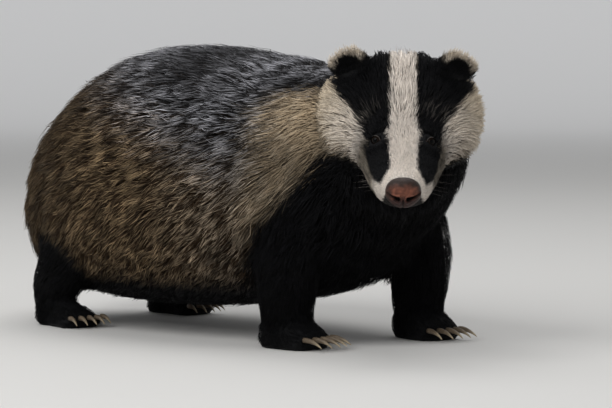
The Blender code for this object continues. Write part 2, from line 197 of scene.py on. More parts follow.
def ear_frame(side):
    """An ear's frame: its middle, with +X forwards and +Z towards its tip."""
    place = Matrix.Translation(Vector(mirrored(EAR_PLACE, side)))
    return HEAD_FRAME @ place @ Matrix.Rotation(-EAR_LEAN * side, 4, "X")


def rotate(points, matrix):
    """Rows of points carried by a matrix."""
    matrix = np.array(matrix)
    return points @ matrix[:3, :3].T + matrix[:3, 3]


def unrotate(points, matrix):
    """Rows of points read in a frame: the inverse of rotate."""
    matrix = np.array(matrix)
    return (points - matrix[:3, 3]) @ matrix[:3, :3]


def unit(rows):
    """Rows scaled to length 1."""
    return rows / np.maximum(np.linalg.norm(rows, axis=-1, keepdims=True), 1e-9)


def ramp(value, start, end):
    """0 before start and 1 after end, with a soft turn between them."""
    t = np.clip((value - start) / (end - start), 0.0, 1.0)
    return t * t * (3.0 - 2.0 * t)


def fall(value, start, end):
    """1 before start and 0 after end: what ramp leaves of 1."""
    return 1.0 - ramp(value, start, end)


def hill(value, middle, spread):
    """1 at the middle, and down towards 0 past the spread on each side of it: exp(-t^2)."""
    return np.exp(-(((value - middle) / spread) ** 2))


def blend(first, second, amount):
    """A mix of two values, or of two colours or rows of three, by an amount for each row."""
    amount = np.asarray(amount)
    if (3,) in (np.shape(first)[-1:], np.shape(second)[-1:]):
        amount = amount[..., None]
    return first * (1.0 - amount) + second * amount


def wave_noise(points, scale, seed, waves=14):
    """Smooth noise from -1 to 1: a sum of sine waves in seeded directions, about scale metres long."""
    draw = np.random.default_rng(seed)
    ways = unit(draw.normal(size=(waves, 3))) * draw.uniform(0.6, 1.6, (waves, 1)) * 2.0 * np.pi / scale
    phase = draw.uniform(0.0, 2.0 * np.pi, waves)
    total = np.zeros(len(points))
    for way, start in zip(ways, phase):
        total += np.sin(points @ way + start)
    return np.clip(total / np.sqrt(waves) / 1.3, -1.0, 1.0)


def linear(red, green, blue):
    """A colour given as it looks on screen (0 to 255), as linear light."""
    value = np.array((red, green, blue)) / 255.0
    return np.where(value <= 0.04045, value / 12.92, ((value + 0.055) / 1.055) ** 2.4)


def smooth_rows(rows, count):
    """Rows at even steps from a cubic curve through every station."""
    rows = np.array(rows, float)
    steps = np.linalg.norm(np.diff(rows[:, :3], axis=0), axis=1)
    knots = np.concatenate(([0.0], np.cumsum(steps)))
    slopes = np.gradient(rows, knots, axis=0)
    at = np.linspace(0.0, knots[-1], count)
    cell = np.clip(np.searchsorted(knots, at, side="right") - 1, 0, len(knots) - 2)
    width = (knots[cell + 1] - knots[cell])[:, None]
    t = (at[:, None] - knots[cell][:, None]) / width
    start = (2 * t**3 - 3 * t**2 + 1) * rows[cell]
    end = (3 * t**2 - 2 * t**3) * rows[cell + 1]
    lead = (t**3 - 2 * t**2 + t) * width * slopes[cell]
    trail = (t**3 - t**2) * width * slopes[cell + 1]
    return start + end + lead + trail


def full_turn(count):
    """Even steps round a full turn."""
    return np.linspace(0.0, 2.0 * np.pi, count, endpoint=False)


def signed_power(value, power):
    """A power of a value's size with the value's own sign, which squares off a sine or a cosine."""
    return np.sign(value) * np.abs(value) ** power


# How points lie in a form: along it (0 to 1), side and height in half sizes, how far out, and the nearest
# ring. They are read in batches, and a form's end counts as at least this thick.
Reading = namedtuple("Reading", "along across height far ring")
READ_BATCH = 20000
END_HALF = 0.012


class Form:
    """A tube of the body: its axis, its sections, and how a point lies in it."""

    def __init__(self, stations, place, upright=False, rings=40):
        rows = smooth_rows(stations, rings)
        along = unit(np.gradient(rows[:, :3], axis=0))
        reference = np.array((1.0, 0.0, 0.0) if upright else (0.0, 0.0, 1.0))
        side = unit(np.cross(reference, along))
        turn = np.array(place)[:3, :3]
        self.path = rotate(rows[:, :3], place)
        self.along = along @ turn.T
        self.side = side @ turn.T
        self.over = np.cross(along, side) @ turn.T
        self.half = rows[:, 3:]

    def grid(self, sides=64):
        """Points of the outline: at each ring a rounded section, x = w cos(a) and z = h sin(a)."""
        turn = full_turn(sides)
        wide = signed_power(np.cos(turn), 2.0 / ROUNDNESS)
        high = signed_power(np.sin(turn), 2.0 / ROUNDNESS)
        across = wide[None, :] * self.half[:, 0:1]
        height = np.where(high > 0.0, high * self.half[:, 1:2], high * self.half[:, 2:3])
        return (
            self.path[:, None, :]
            + across[:, :, None] * self.side[:, None, :]
            + height[:, :, None] * self.over[:, None, :]
        )

    def read(self, points):
        """How each point lies in the form, measured from the nearest ring of its axis."""
        nearest = np.empty(len(points), int)
        for start in range(0, len(points), READ_BATCH):
            part = points[start : start + READ_BATCH]
            gap = ((part[:, None, :] - self.path[None, :, :]) ** 2).sum(-1)
            nearest[start : start + READ_BATCH] = gap.argmin(1)
        offset = points - self.path[nearest]
        half = self.half[nearest]
        across = (offset * self.side[nearest]).sum(1) / half[:, 0]
        lift = (offset * self.over[nearest]).sum(1)
        height = lift / np.where(lift > 0.0, half[:, 1], half[:, 2])
        beyond = (offset * self.along[nearest]).sum(1) / np.maximum(half.mean(1), END_HALF)
        far = np.sqrt(across**2 + height**2 + beyond**2)
        return Reading(nearest / (len(self.path) - 1.0), across, height, far, nearest)


def side_of(name):
    """+1 for what is on the animal's left, and -1 for its right."""
    return 1 if name.endswith("left") else -1


def body_forms():
    """The tubes of the whole body, by name."""
    forms = {
        "trunk": Form(TRUNK, SHIFT),
        "neck": Form(NECK, SHIFT),
        "head": Form(HEAD, HEAD_FRAME, rings=60),
        "tail": Form(TAIL, SHIFT, upright=True),
    }
    for foot in FEET:
        leg, paw = (FRONT_LEG, FRONT_PAW) if foot.startswith("front") else (HIND_LEG, HIND_PAW)
        leg = [(x, y * side_of(foot), z, *half) for x, y, z, *half in leg]
        forms["leg_" + foot] = Form(leg, leg_frame(foot), upright=True)
        forms["paw_" + foot] = Form(paw, foot_frame(foot))
    return forms


FORMS = body_forms()
LIMBS = [name for name in FORMS if name.startswith(("leg", "paw"))]


def closed_faces(rings, sides, start=0):
    """Quads between rings of points, as rows of four indices, and the two end faces."""
    ring, side = np.meshgrid(np.arange(rings - 1), np.arange(sides), indexing="ij")
    first = start + ring * sides + side
    second = start + ring * sides + (side + 1) % sides
    quads = np.stack((first, first + sides, second + sides, second), -1).reshape(-1, 4)
    near = list(range(start, start + sides))
    far = list(range(start + (rings - 1) * sides, start + rings * sides))[::-1]
    return quads.tolist() + [near, far]


def add_object(name, data):
    """A new object of the scene, at the origin."""
    made = bpy.data.objects.new(name, data)
    bpy.context.scene.collection.objects.link(made)
    return made


def smooth_mesh(name, points, faces):
    """A smooth-shaded mesh from points and faces."""
    mesh = bpy.data.meshes.new(name)
    mesh.from_pydata(np.asarray(points).reshape(-1, 3).tolist(), [], faces)
    mesh.shade_smooth()
    return mesh


def new_piece(name, points, faces):
    """An object from points and faces, with its faces turned outwards."""
    mesh = smooth_mesh(name, points, faces)
    if signed_volume(mesh) < 0.0:
        mesh.flip_normals()
    return add_object(name, mesh)


def read_rows(items, key, kind=np.float32):
    """Three numbers from each of a mesh's items, as rows."""
    rows = np.empty(len(items) * 3, kind)
    items.foreach_get(key, rows)
    return rows.reshape(-1, 3)


def mesh_arrays(mesh):
    """A mesh's points, vertex normals and triangles."""
    mesh.calc_loop_triangles()
    points = read_rows(mesh.vertices, "co").astype(float)
    normals = read_rows(mesh.vertex_normals, "vector").astype(float)
    return points, normals, read_rows(mesh.loop_triangles, "vertices", np.int32)


def move_points(mesh, points):
    """Put a mesh's points at new places."""
    mesh.vertices.foreach_set("co", points.ravel())
    mesh.update()


def put_values(mesh, name, kind, key, values):
    """Store a value for each point of a mesh as an attribute."""
    layer = mesh.attributes.new(name, kind, "POINT")
    layer.data.foreach_set(key, np.asarray(values, np.float32).ravel())


def paint(mesh, values, name="tint"):
    """Give a mesh a colour for each point."""
    rows = np.ones((len(mesh.vertices), 4), np.float32)
    rows[:, :3] = values
    put_values(mesh, name, "FLOAT_COLOR", "color", rows)


def fit(made, material, slot, *nodes):
    """Give a piece its material and its body, and let it stand for the nodes named; the slot it is given is
    not used.
    """
    made.data.materials.append(material)
    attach(made, "root")
    if nodes:
        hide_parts(*nodes)


def signed_volume(mesh):
    """The volume inside a mesh, negative where its faces point in."""
    points, _, triangles = mesh_arrays(mesh)
    a, b, c = points[triangles[:, 0]], points[triangles[:, 1]], points[triangles[:, 2]]
    return float((a * np.cross(b, c)).sum() / 6.0)


def settle(made):
    """Replace an object's mesh with what its modifiers give, and drop the modifiers."""
    result = bpy.data.meshes.new_from_object(made.evaluated_get(bpy.context.evaluated_depsgraph_get()))
    made.modifiers.clear()
    made.data = result


def remesh(made, size, steps):
    """Fuse a mesh into one even closed surface, then soften it."""
    fuse = made.modifiers.new("fuse", "REMESH")
    fuse.mode = "VOXEL"
    fuse.voxel_size = size
    soften = made.modifiers.new("soften", "SMOOTH")
    soften.factor = 0.5
    soften.iterations = steps
    settle(made)


def ball_grid(half, rings=24, sides=36, pole=0.02):
    """Points of an ellipsoid: x = a cos(v), y = b sin(v) cos(u), z = c sin(v) sin(u)."""
    v = np.linspace(pole, np.pi - pole, rings)
    u = full_turn(sides)
    x = half[0] * np.cos(v)[:, None] * np.ones(sides)
    y = half[1] * np.sin(v)[:, None] * np.cos(u)
    z = half[2] * np.sin(v)[:, None] * np.sin(u)
    return np.stack((x, y, z), -1)


def toe_middles():
    """The toes' middles in a foot's frame: evenly across it, on a curve that bulges forwards."""
    across = np.arange(TOES) - (TOES - 1) / 2
    x = TOE_FRONT - TOE_CURVE * (across / 2) ** 2
    return np.stack((x, across * TOE_SPREAD, np.full(TOES, TOE_HEIGHT)), -1)


def outline_parts():
    """Grids of every form at the outline of the coat."""
    grids = [form.grid() for form in FORMS.values()]
    for side in (1, -1):
        grids.append(rotate(ball_grid(EAR_HALF), ear_frame(side)))
    for foot in FEET:
        for middle in toe_middles():
            grids.append(rotate(ball_grid(TOE_HALF) + middle, foot_frame(foot)))
    return grids


# How sharply one form takes over from the next, and how far an ear reaches past its own half sizes
FORM_EDGE = 9.0
EAR_REACH = 1.25
EAR_FADE = 1.35


def form_weights(points):
    """How much each form has a say at each point, and each form's reading of the points."""
    reads = {name: form.read(points) for name, form in FORMS.items()}
    far = np.stack([reads[name].far for name in FORMS], 1)
    weight = np.exp(-FORM_EDGE * (far - far.min(1, keepdims=True)))
    weight /= weight.sum(1, keepdims=True)
    return {name: weight[:, i] for i, name in enumerate(FORMS)}, reads


def ear_nearness(points):
    """1 on an ear and 0 off it, for each ear, with the points in the ear's frame."""
    found = []
    for side in (1, -1):
        local = unrotate(points, ear_frame(side))
        far = np.sqrt(((local / (np.array(EAR_HALF) * EAR_REACH)) ** 2).sum(1))
        on = fall(far, 1.0, EAR_FADE) * ramp(local[:, 2], -0.010, -0.003)
        found.append((on, local))
    return found


# Depths of the coat: on the trunk and neck against the height in half sizes, on the legs against the
# height over the floor, on the paws against the place from heel to toe, on the head from nose to nape
TRUNK_DEPTH = ((-1.0, -0.5, 0.0, 1.0), (0.012, 0.018, 0.022, 0.022))
NECK_DEPTH = ((-1.0, 0.0, 1.0), (0.016, 0.020, 0.018))
LEG_DEPTH = ((0.03, 0.06, 0.12), (0.0045, 0.0070, 0.0120))
PAW_DEPTH = ((0.0, 0.03), (0.0040, 0.0018))
HEAD_BACK = (-0.066, -0.040, -0.010, 0.030, 0.070, 0.110)
CROWN_DEPTH = (0.0012, 0.0022, 0.0032, 0.0045, 0.0075, 0.0130)
CHEEK_DEPTH = (0.0012, 0.0026, 0.0045, 0.0110, 0.0150, 0.0170)
TAIL_DEPTH = 0.016
EAR_DEPTH = 0.0032
SOLE_RISE = 0.012


def head_depth(local):
    """Depth of the coat on the head: the crown's at the top, and the cheek's low down."""
    x, _, z = local.T
    crown = np.interp(-x, HEAD_BACK, CROWN_DEPTH)
    cheek = np.interp(-x, HEAD_BACK, CHEEK_DEPTH)
    return blend(crown, cheek, ramp(-z, -0.010, 0.030))


def coat_depth(points, weights, reads):
    """How far the skin lies under the outline of the coat: each form's depth by its say, 0 at the floor."""
    depth = weights["trunk"] * np.interp(reads["trunk"].height, *TRUNK_DEPTH)
    depth += weights["neck"] * np.interp(reads["neck"].height, *NECK_DEPTH)
    depth += weights["head"] * head_depth(unrotate(points, HEAD_FRAME))
    depth += weights["tail"] * TAIL_DEPTH
    for name in LIMBS:
        if name.startswith("leg"):
            own = np.interp(points[:, 2], *LEG_DEPTH)
        else:
            own = np.interp(unrotate(points, foot_frame(name[4:]))[:, 0], *PAW_DEPTH)
        depth += weights[name] * own
    for on, _ in ear_nearness(points):
        depth = blend(depth, EAR_DEPTH, on)
    return depth * ramp(points[:, 2], 0.0, SOLE_RISE)


# Places and sizes of the face in the head's frame
MOUTH_Z = -0.0275
MOUTH_DROP = 0.004
MOUTH_BACK = 0.004
MOUTH_FRONT = 0.061
LIP_HALF = 0.0016
LIP_DEPTH = 0.0016
EYE_RIM = 0.0024
RIM_REACH = 0.0060
RIM_SPREAD = 0.0036
EAR_DISH = 0.0052
DISH_HALF = (0.0135, 0.0140)


def mouth_line(x):
    """Height of the mouth's line: it drops towards its corner."""
    return MOUTH_Z - MOUTH_DROP * ramp(-x, -0.050, 0.0)


def carve_face(points, normals):
    """Press in the mouth line and the inside of the ears, and raise a rim round each eye."""
    local = unrotate(points, HEAD_FRAME)
    x, y, z = local.T
    on = hill(z, mouth_line(x), LIP_HALF) * ramp(x, MOUTH_BACK - 0.006, MOUTH_BACK + 0.004)
    on *= fall(x, MOUTH_FRONT, MOUTH_FRONT + 0.004) * (np.abs(y) > 0.002)
    moved = points - normals * (on * LIP_DEPTH)[:, None]
    for side in (1, -1):
        gap = np.linalg.norm(local - mirrored(EYE_PLACE, side), axis=1)
        moved += normals * (EYE_RIM * hill(gap, RIM_REACH, RIM_SPREAD))[:, None]
    forward = np.array(ear_frame(1))[:3, 0]
    for on, ear in ear_nearness(points):
        dish = 1.0 - (ear[:, 1] / DISH_HALF[0]) ** 2 - ((ear[:, 2] - 0.001) / DISH_HALF[1]) ** 2
        facing = ramp(ear[:, 0], 0.0, 0.003)
        moved -= forward * (EAR_DISH * np.clip(dish, 0.0, 1.0) * facing * on)[:, None]
    return moved


def make_outward(made):
    """Turn each closed shell of a mesh outwards."""
    work = bmesh.new()
    work.from_mesh(made.data)
    bmesh.ops.recalc_face_normals(work, faces=work.faces)
    work.to_mesh(made.data)
    work.free()


# The fineness of the first fusing, the softening after each fusing, and the flat soles: skin that is
# lower than the first height lies at the second
OUTLINE_VOXEL = 0.0032
OUTLINE_STEPS = 6
SKIN_STEPS = 3
SOLE_FROM = 0.0022
SOLE_Z = 0.0004


def make_skin(voxel):
    """The skin: every form fused into one, pressed in by the coat's depth, and fused again."""
    grids = outline_parts()
    faces = []
    start = 0
    for grid in grids:
        rings, sides = grid.shape[:2]
        faces += closed_faces(rings, sides, start)
        start += rings * sides
    points = np.concatenate([grid.reshape(-1, 3) for grid in grids])
    skin = add_object("skin", smooth_mesh("skin", points, faces))
    make_outward(skin)
    remesh(skin, OUTLINE_VOXEL, OUTLINE_STEPS)
    points, normals, _ = mesh_arrays(skin.data)
    points -= normals * coat_depth(points, *form_weights(points))[:, None]
    points[:, 2] = np.maximum(points[:, 2], 0.0)
    move_points(skin.data, points)
    remesh(skin, voxel, SKIN_STEPS)
    points, normals, _ = mesh_arrays(skin.data)
    points = carve_face(points, normals)
    points[:, 2] = np.where(points[:, 2] < SOLE_FROM, SOLE_Z, points[:, 2])
    move_points(skin.data, points)
    skin.data.shade_smooth()
    return skin


def colour(name):
    """A colour of the panel, in linear light."""
    return np.array(getattr(bpy.context.scene.badger_colours, name))


# Edges of the markings in the head's frame, each as heights or half widths at places along it
STRIPE_X = (-0.120, -0.080, -0.030, 0.010, 0.035, 0.047, 0.054, 0.061)
STRIPE_HALF = (0.0120, 0.0123, 0.0128, 0.0138, 0.0128, 0.0122, 0.0165, 0.0240)
MARK_X = (-0.085, -0.060, -0.045, -0.030, -0.020, -0.010, 0.000, 0.014, 0.028, 0.038, 0.047, 0.056)
BLACK_LOW = (
    0.0040, 0.0060, 0.0055, 0.0015, -0.0030, -0.0065,
    -0.0090, -0.0105, -0.0125, -0.0145, -0.0145, -0.0125,
)
CHEEK_X = (-0.110, -0.070, -0.045, -0.020, 0.000, 0.020, 0.045)
CHEEK_LOW = (-0.066, -0.062, -0.054, -0.042, -0.036, -0.031, -0.031)
MARK_EDGE = 0.0012

# The black of the chest ends at this slanting line, and under this height of the neck
CHEST_X = 0.012
CHEST_SLOPE = 0.857
CHEST_TOP = 0.186
# The cream of the neck starts at this place along the body, and ends at this height
CREAM_START = 0.104
CREAM_TOP = 0.244
# The grey of the back starts at this height, lower towards the shoulder
GREY_LOW = 0.190
GREY_SLOPE = 0.37
# Tones of the body: patches, painted shade on the rump, the belly side and the middle of the back, a paler
# nape, and the dark strip over the cream of the neck
PATCHES = 0.16
RUMP_SHADE = 0.60
BELLY_SIDE_SHADE = 0.22
MID_BACK_SHADE = 0.72
NAPE_PALE = 0.20
STRIP_DARK = 0.8
# Painted shade on the head: streaks of it over the jaw's pale fur below the black band, and in the fold
# behind the cheek
JAW_SHADE = 0.19
JAW_SHADE_STREAKS = 0.15
FOLD_SHADE = 0.55
# How bright the tips of black fur are against black, and how much that varies
BLACK_SHEEN = 1.5
BLACK_VARIES = 0.9
# The bare corner of an eye: its place from the middle of the eye, and its size
CORNER_OFFSET = (0.004, -0.0070, -0.0035)
CORNER_SIZE = 0.0042


def face_marks(local, rough):
    """How far each point is stripe, black band, throat and chin, with edges as rough as given."""
    x, y, z = local.T
    y = np.abs(y) + rough
    z = z + rough
    half = np.interp(x, STRIPE_X, STRIPE_HALF)
    low = np.interp(x, MARK_X, BLACK_LOW)
    stripe = fall(y, half - MARK_EDGE, half + MARK_EDGE) * ramp(z - low, -0.002, 0.001)
    black = ramp(z - low, -MARK_EDGE, MARK_EDGE) * (1.0 - stripe)
    black *= fall(x + 2.0 * rough, 0.057, 0.061)
    under = fall(z - np.interp(x, CHEEK_X, CHEEK_LOW), -0.003, 0.003)
    return stripe, black, under


def body_marks(points, weights, rough):
    """Colours of the coat on trunk, neck and tail at its root, its middle and its tip."""
    x, _, z = points.T
    grey_from = GREY_LOW - GREY_SLOPE * x
    grey = ramp(z + 9.0 * rough, grey_from - 0.035, grey_from + 0.040)
    fore = ramp(x + 6.0 * rough, -0.040, 0.080)
    root = blend(colour("flank_root"), colour("back_root"), grey)
    band = blend(colour("flank_band"), colour("back_band"), grey)
    tip = blend(blend(colour("flank_tip"), colour("shoulder_tip"), fore), colour("back_tip"), grey)
    patchy = 1.0 + PATCHES * wave_noise(points, 0.11, SEED + 40)
    # Painted shade: the rump, the lower flanks and the middle of the back are darkened.
    light = 1.0 - RUMP_SHADE * fall(x, -0.190, -0.070) - BELLY_SIDE_SHADE * fall(z, 0.040, 0.130)
    light *= 1.0 - MID_BACK_SHADE * hill(x, -0.020, 0.055) * ramp(z, 0.228, 0.258)
    tip = tip * (light * patchy)[:, None]

    cream = ramp(x + 9.0 * rough, CREAM_START - 0.034, CREAM_START + 0.022)
    cream *= fall(z + 4.0 * rough, CREAM_TOP - 0.007, CREAM_TOP + 0.005)
    low = fall(z, 0.175, 0.215)
    root = blend(root, colour("neck_root"), cream)
    band = blend(band, blend(colour("neck_band"), colour("neck_band") * 0.5, low), cream)
    tip = blend(tip, blend(colour("neck_tip"), colour("neck_tip") * 0.5, low), cream)
    strip = hill(z - CREAM_TOP, 0.006, 0.007) * ramp(x, 0.060, 0.115) * STRIP_DARK
    nape = ramp(z, CREAM_TOP + 0.008, CREAM_TOP + 0.018) * ramp(x, -0.020, 0.070)
    tip = tip * (1.0 + NAPE_PALE * nape)[:, None]
    band = blend(band, colour("black"), strip)
    tip = blend(tip, colour("black") * 1.5, strip)

    tail = weights["tail"]
    root = blend(root, colour("neck_root"), tail)
    band = blend(band, colour("neck_band") * 0.8, tail)
    tip = blend(tip, colour("neck_tip") * 0.9, tail)
    return root, band, tip


def face_colours(local, z, stripe):
    """Colours of the head's pale fur at its root and its tip, with painted shade on the jaw and at the roots,
    the bare eye corners, and the nape.
    """
    white, cream = colour("stripe"), colour("cheek")
    x = local[:, 0]
    cheek = blend(white * 0.95, cream, ramp(-x, 0.010, 0.085))
    cheek = blend(cheek, colour("neck_tip"), 0.75 * ramp(-x, 0.058, 0.104))
    # Painted shade: the jaw's pale fur below the black band is darkened, in streaks.
    jaw = ramp(x, -0.030, 0.000) * fall(x, 0.040, 0.054) * (1.0 - stripe)
    shade_streaks = JAW_SHADE + JAW_SHADE_STREAKS * wave_noise(local, 0.010, SEED + 50)
    cheek = blend(cheek, cream * np.clip(shade_streaks, 0.05, 0.6)[:, None], 0.97 * jaw)
    corner = np.zeros(len(x))
    for side in (1, -1):
        gap = local - mirrored(EYE_PLACE, side, CORNER_OFFSET)
        corner += np.exp(-(gap**2).sum(1) / CORNER_SIZE**2)
    corner = np.minimum(corner, 1.0)
    tip = blend(cheek, white, stripe)
    tip = blend(tip, colour("lid_corner"), corner * (1.0 - stripe))
    # The roots are darker than the tips: painted shade deep in the coat.
    root = blend(cheek * 0.75, white * 0.85, stripe)
    nape = ramp(-x, 0.098, 0.125) * ramp(z, 0.228, 0.250)
    tip = blend(tip, colour("back_tip") * 0.8, nape)
    root = blend(root, colour("back_band"), nape)
    return root, tip, corner, nape


def markings(points, normals, rough):
    """Colours of the coat at its root, its middle and its tip, and how dark it is, where it shows."""
    weights, _ = form_weights(points)
    x, _, z = points.T
    local = unrotate(points, HEAD_FRAME)
    root, band, tip = body_marks(points, weights, rough)
    stripe, dark, under = face_marks(local, rough)
    face_root, face_tip, corner, nape = face_colours(local, z, stripe)
    head = ramp(weights["head"], 0.35, 0.65)
    # Painted shade in the fold between the cheek and the neck, below the top of the cream.
    fold = hill(weights["head"], 0.30, 0.17) * fall(z, 0.236, 0.250)
    root, band, tip = (rows * (1.0 - FOLD_SHADE * fold)[:, None] for rows in (root, band, tip))
    root = blend(root, face_root, head)
    band = blend(band, blend(face_root, face_tip, 0.55), head)
    tip = blend(tip, face_tip, head)

    border = x - (CHEST_X + CHEST_SLOPE * z) + 7.0 * rough
    chest = ramp(border, -0.008, 0.008) * fall(z + 4.0 * rough, CHEST_TOP - 0.006, CHEST_TOP + 0.006)
    chest *= 1.0 - head
    belly = ramp(-normals[:, 2], 0.45, 0.80) * fall(z, 0.045, 0.070)
    limbs = ramp(sum(weights[name] for name in LIMBS), 0.25, 0.60)
    limbs = np.maximum(limbs, fall(z, 0.030, 0.042) * (1.0 - weights["tail"]))
    throat = under * fall(local[:, 0], 0.010, 0.020)
    # Painted shadow: the fur under the nose pad, on the front of the chin, is painted black.
    level = -0.56 * (local[:, 0] - NOSE_PLACE.x) + 0.83 * (local[:, 2] - NOSE_PLACE.z)
    level += 0.009 * ramp(np.abs(local[:, 1]), 0.0145, 0.0205)
    chin = 0.97 * ramp(local[:, 0], 0.036, 0.050) * fall(level + 2.0 * rough, -0.001, 0.002)
    bands = dark * (1.0 - nape) * (1.0 - 0.7 * corner)
    face = head * np.maximum.reduce([bands, throat, chin])
    shade = np.maximum.reduce([chest, belly, limbs, face])
    black = colour("black")
    sheen = BLACK_SHEEN + BLACK_VARIES * wave_noise(points, 0.005, SEED + 51)
    root = blend(root, black, shade)
    band = blend(band, black, shade)
    tip = blend(tip, black * sheen[:, None], shade)
    return root, band, tip, shade


def ear_marks(points, rows, rough):
    """Colours on the ears, in place of those given: black, with a pale fringe round the rim."""
    root, band, tip, shade = rows
    black, pale = colour("black"), colour("ear_rim")
    for on, ear in ear_nearness(points):
        reach = np.hypot(ear[:, 1] / EAR_HALF[1], ear[:, 2] / EAR_HALF[2])
        behind = fall(ear[:, 0], -0.004, 0.000)
        rim = ramp(reach + 25.0 * rough - 0.10 * behind, 0.50, 0.60) * ramp(ear[:, 2], -0.001, 0.005)
        rim_tip = blend(black, pale, rim)
        root = blend(root, blend(black, pale * 0.6, rim), on)
        band = blend(band, rim_tip, on)
        tip = blend(tip, rim_tip, on)
        shade = blend(shade, 1.0 - rim, on)
    return root, band, tip, shade


# How steeply the coat slopes down, in degrees, against the height in half sizes
TRUNK_LIE = ((-1.0, -0.5, 0.0, 0.6, 1.0), (64.0, 54.0, 34.0, 16.0, 5.0))
NECK_LIE = ((-1.0, -0.3, 0.4, 1.0), (55.0, 34.0, 16.0, 4.0))


def lie_of_coat(points, normals, weights, reads):
    """The way the coat lies: backwards and down the body, down the legs, out to the ears' rims."""
    trunk, neck = reads["trunk"], reads["neck"]
    drop = np.radians(np.interp(trunk.height, *TRUNK_LIE))
    ways = np.stack((-np.cos(drop), 0.3 * trunk.across * np.sin(drop), -np.sin(drop)), 1)
    flow = weights["trunk"][:, None] * ways

    drop = np.radians(np.interp(neck.height, *NECK_LIE))
    ways = -FORMS["neck"].along[neck.ring] * np.cos(drop)[:, None]
    ways[:, 2] -= np.sin(drop)
    flow += weights["neck"][:, None] * ways

    local = unrotate(points, HEAD_FRAME)
    x, y, z = local.T
    side = np.tanh(y / 0.012)
    cheek = ramp(-x, -0.010, 0.045) * ramp(-z, -0.014, 0.025)
    ways = np.stack((-1.0 + 0.2 * cheek, side * (0.04 + 0.80 * cheek), -0.05 - 0.60 * cheek), 1)
    turn = np.array(HEAD_FRAME)[:3, :3]
    flow += weights["head"][:, None] * (ways @ turn.T)

    flow += weights["tail"][:, None] * FORMS["tail"].along[reads["tail"].ring]
    for name in LIMBS:
        ways = FORMS[name].along[reads[name].ring]
        if name.startswith("leg"):
            ways[:, 0] -= 0.30
        else:
            ways[:, 2] -= 0.35
        flow += weights[name][:, None] * ways

    for side in (1, -1):
        away = local - mirrored(EYE_PLACE, side)
        near = fall(np.linalg.norm(away, axis=1), 0.0080, 0.0135)
        flow = blend(flow, 1.5 * unit(away) @ turn.T, near)

    for side, (on, ear) in zip((1, -1), ear_nearness(points)):
        ways = np.stack((-0.15 * np.ones(len(ear)), ear[:, 1] / 0.020, ear[:, 2] / 0.020 + 0.75), 1)
        flow = blend(flow, ways @ np.array(ear_frame(side))[:3, :3].T, on)
    flow -= normals * (flow * normals).sum(1, keepdims=True)
    return unit(flow)


# No hair grows this near the middle of an eye, or this near the mouth's line
LID_REACH = 0.0054
LIP_GAP = 0.0007


def bare_places(points):
    """0 where no hair grows: the nose pad, the eyes, the lips and the soles."""
    local = unrotate(points, HEAD_FRAME)
    x, _, z = local.T
    pad = np.sqrt((((local - np.array(NOSE_PLACE)) / (np.array(NOSE_HALF) * 1.02)) ** 2).sum(1))
    keep = ramp(pad, 1.0, 1.08)
    for side in (1, -1):
        gap = np.linalg.norm(local - mirrored(EYE_PLACE, side), axis=1)
        keep *= ramp(gap, LID_REACH - 0.0006, LID_REACH + 0.0006)
    lips = (np.abs(z - mouth_line(x)) < LIP_GAP) & (x > MOUTH_BACK) & (x < MOUTH_FRONT)
    keep *= 1.0 - lips
    return keep * ramp(points[:, 2], 0.0015, 0.0035)


def crown_rise(points):
    """1 over the crown between the ears, where the coat stands up, and 0 off it."""
    x, y, z = unrotate(points, HEAD_FRAME).T
    across = 1.0 - 0.6 * ramp(np.abs(y), 0.010, 0.016) - 0.4 * ramp(np.abs(y), 0.036, 0.048)
    return hill(x, -0.086, 0.020) * ramp(z, 0.004, 0.014) * across


# Regions of the coat, the depth under which the head's coat is the face's, and what the crown adds to it
REGIONS = ("trunk", "neck", "head", "face", "tail", "legs", "feet", "ears")
SHORT_DEPTH = 0.0055
CROWN_EXTRA = 0.007
# Against the depth of the coat: a strand's length over the depth, its width, and how many lie over a place
STRAND_REACH = ((0.001, 0.004, 0.008, 0.016, 0.024), (3.3, 2.7, 2.25, 1.95, 1.95))
STRAND_WIDTH = ((0.0012, 0.004, 0.009, 0.016, 0.022), (0.00030, 0.00038, 0.00058, 0.00078, 0.00088))
STRAND_COVER = ((0.001, 0.003, 0.006, 0.012, 0.022), (3.6, 4.6, 6.0, 7.4, 7.8))
SHORTEST_DEPTH = 0.0013
EAR_STRAND = 0.00042
LEG_COVER = 0.80
FOOT_COVER = 0.48


def is_in(region, kind):
    """Where the region is the one named."""
    return region == REGIONS.index(kind)


def region_of(name):
    """The region of the coat that a form belongs to."""
    if name in REGIONS:
        return name
    return "legs" if name.startswith("leg") else "feet"


def home_form(weights):
    """The number of the form that has the most say at each point."""
    return np.stack([weights[name] for name in FORMS], 1).argmax(1)


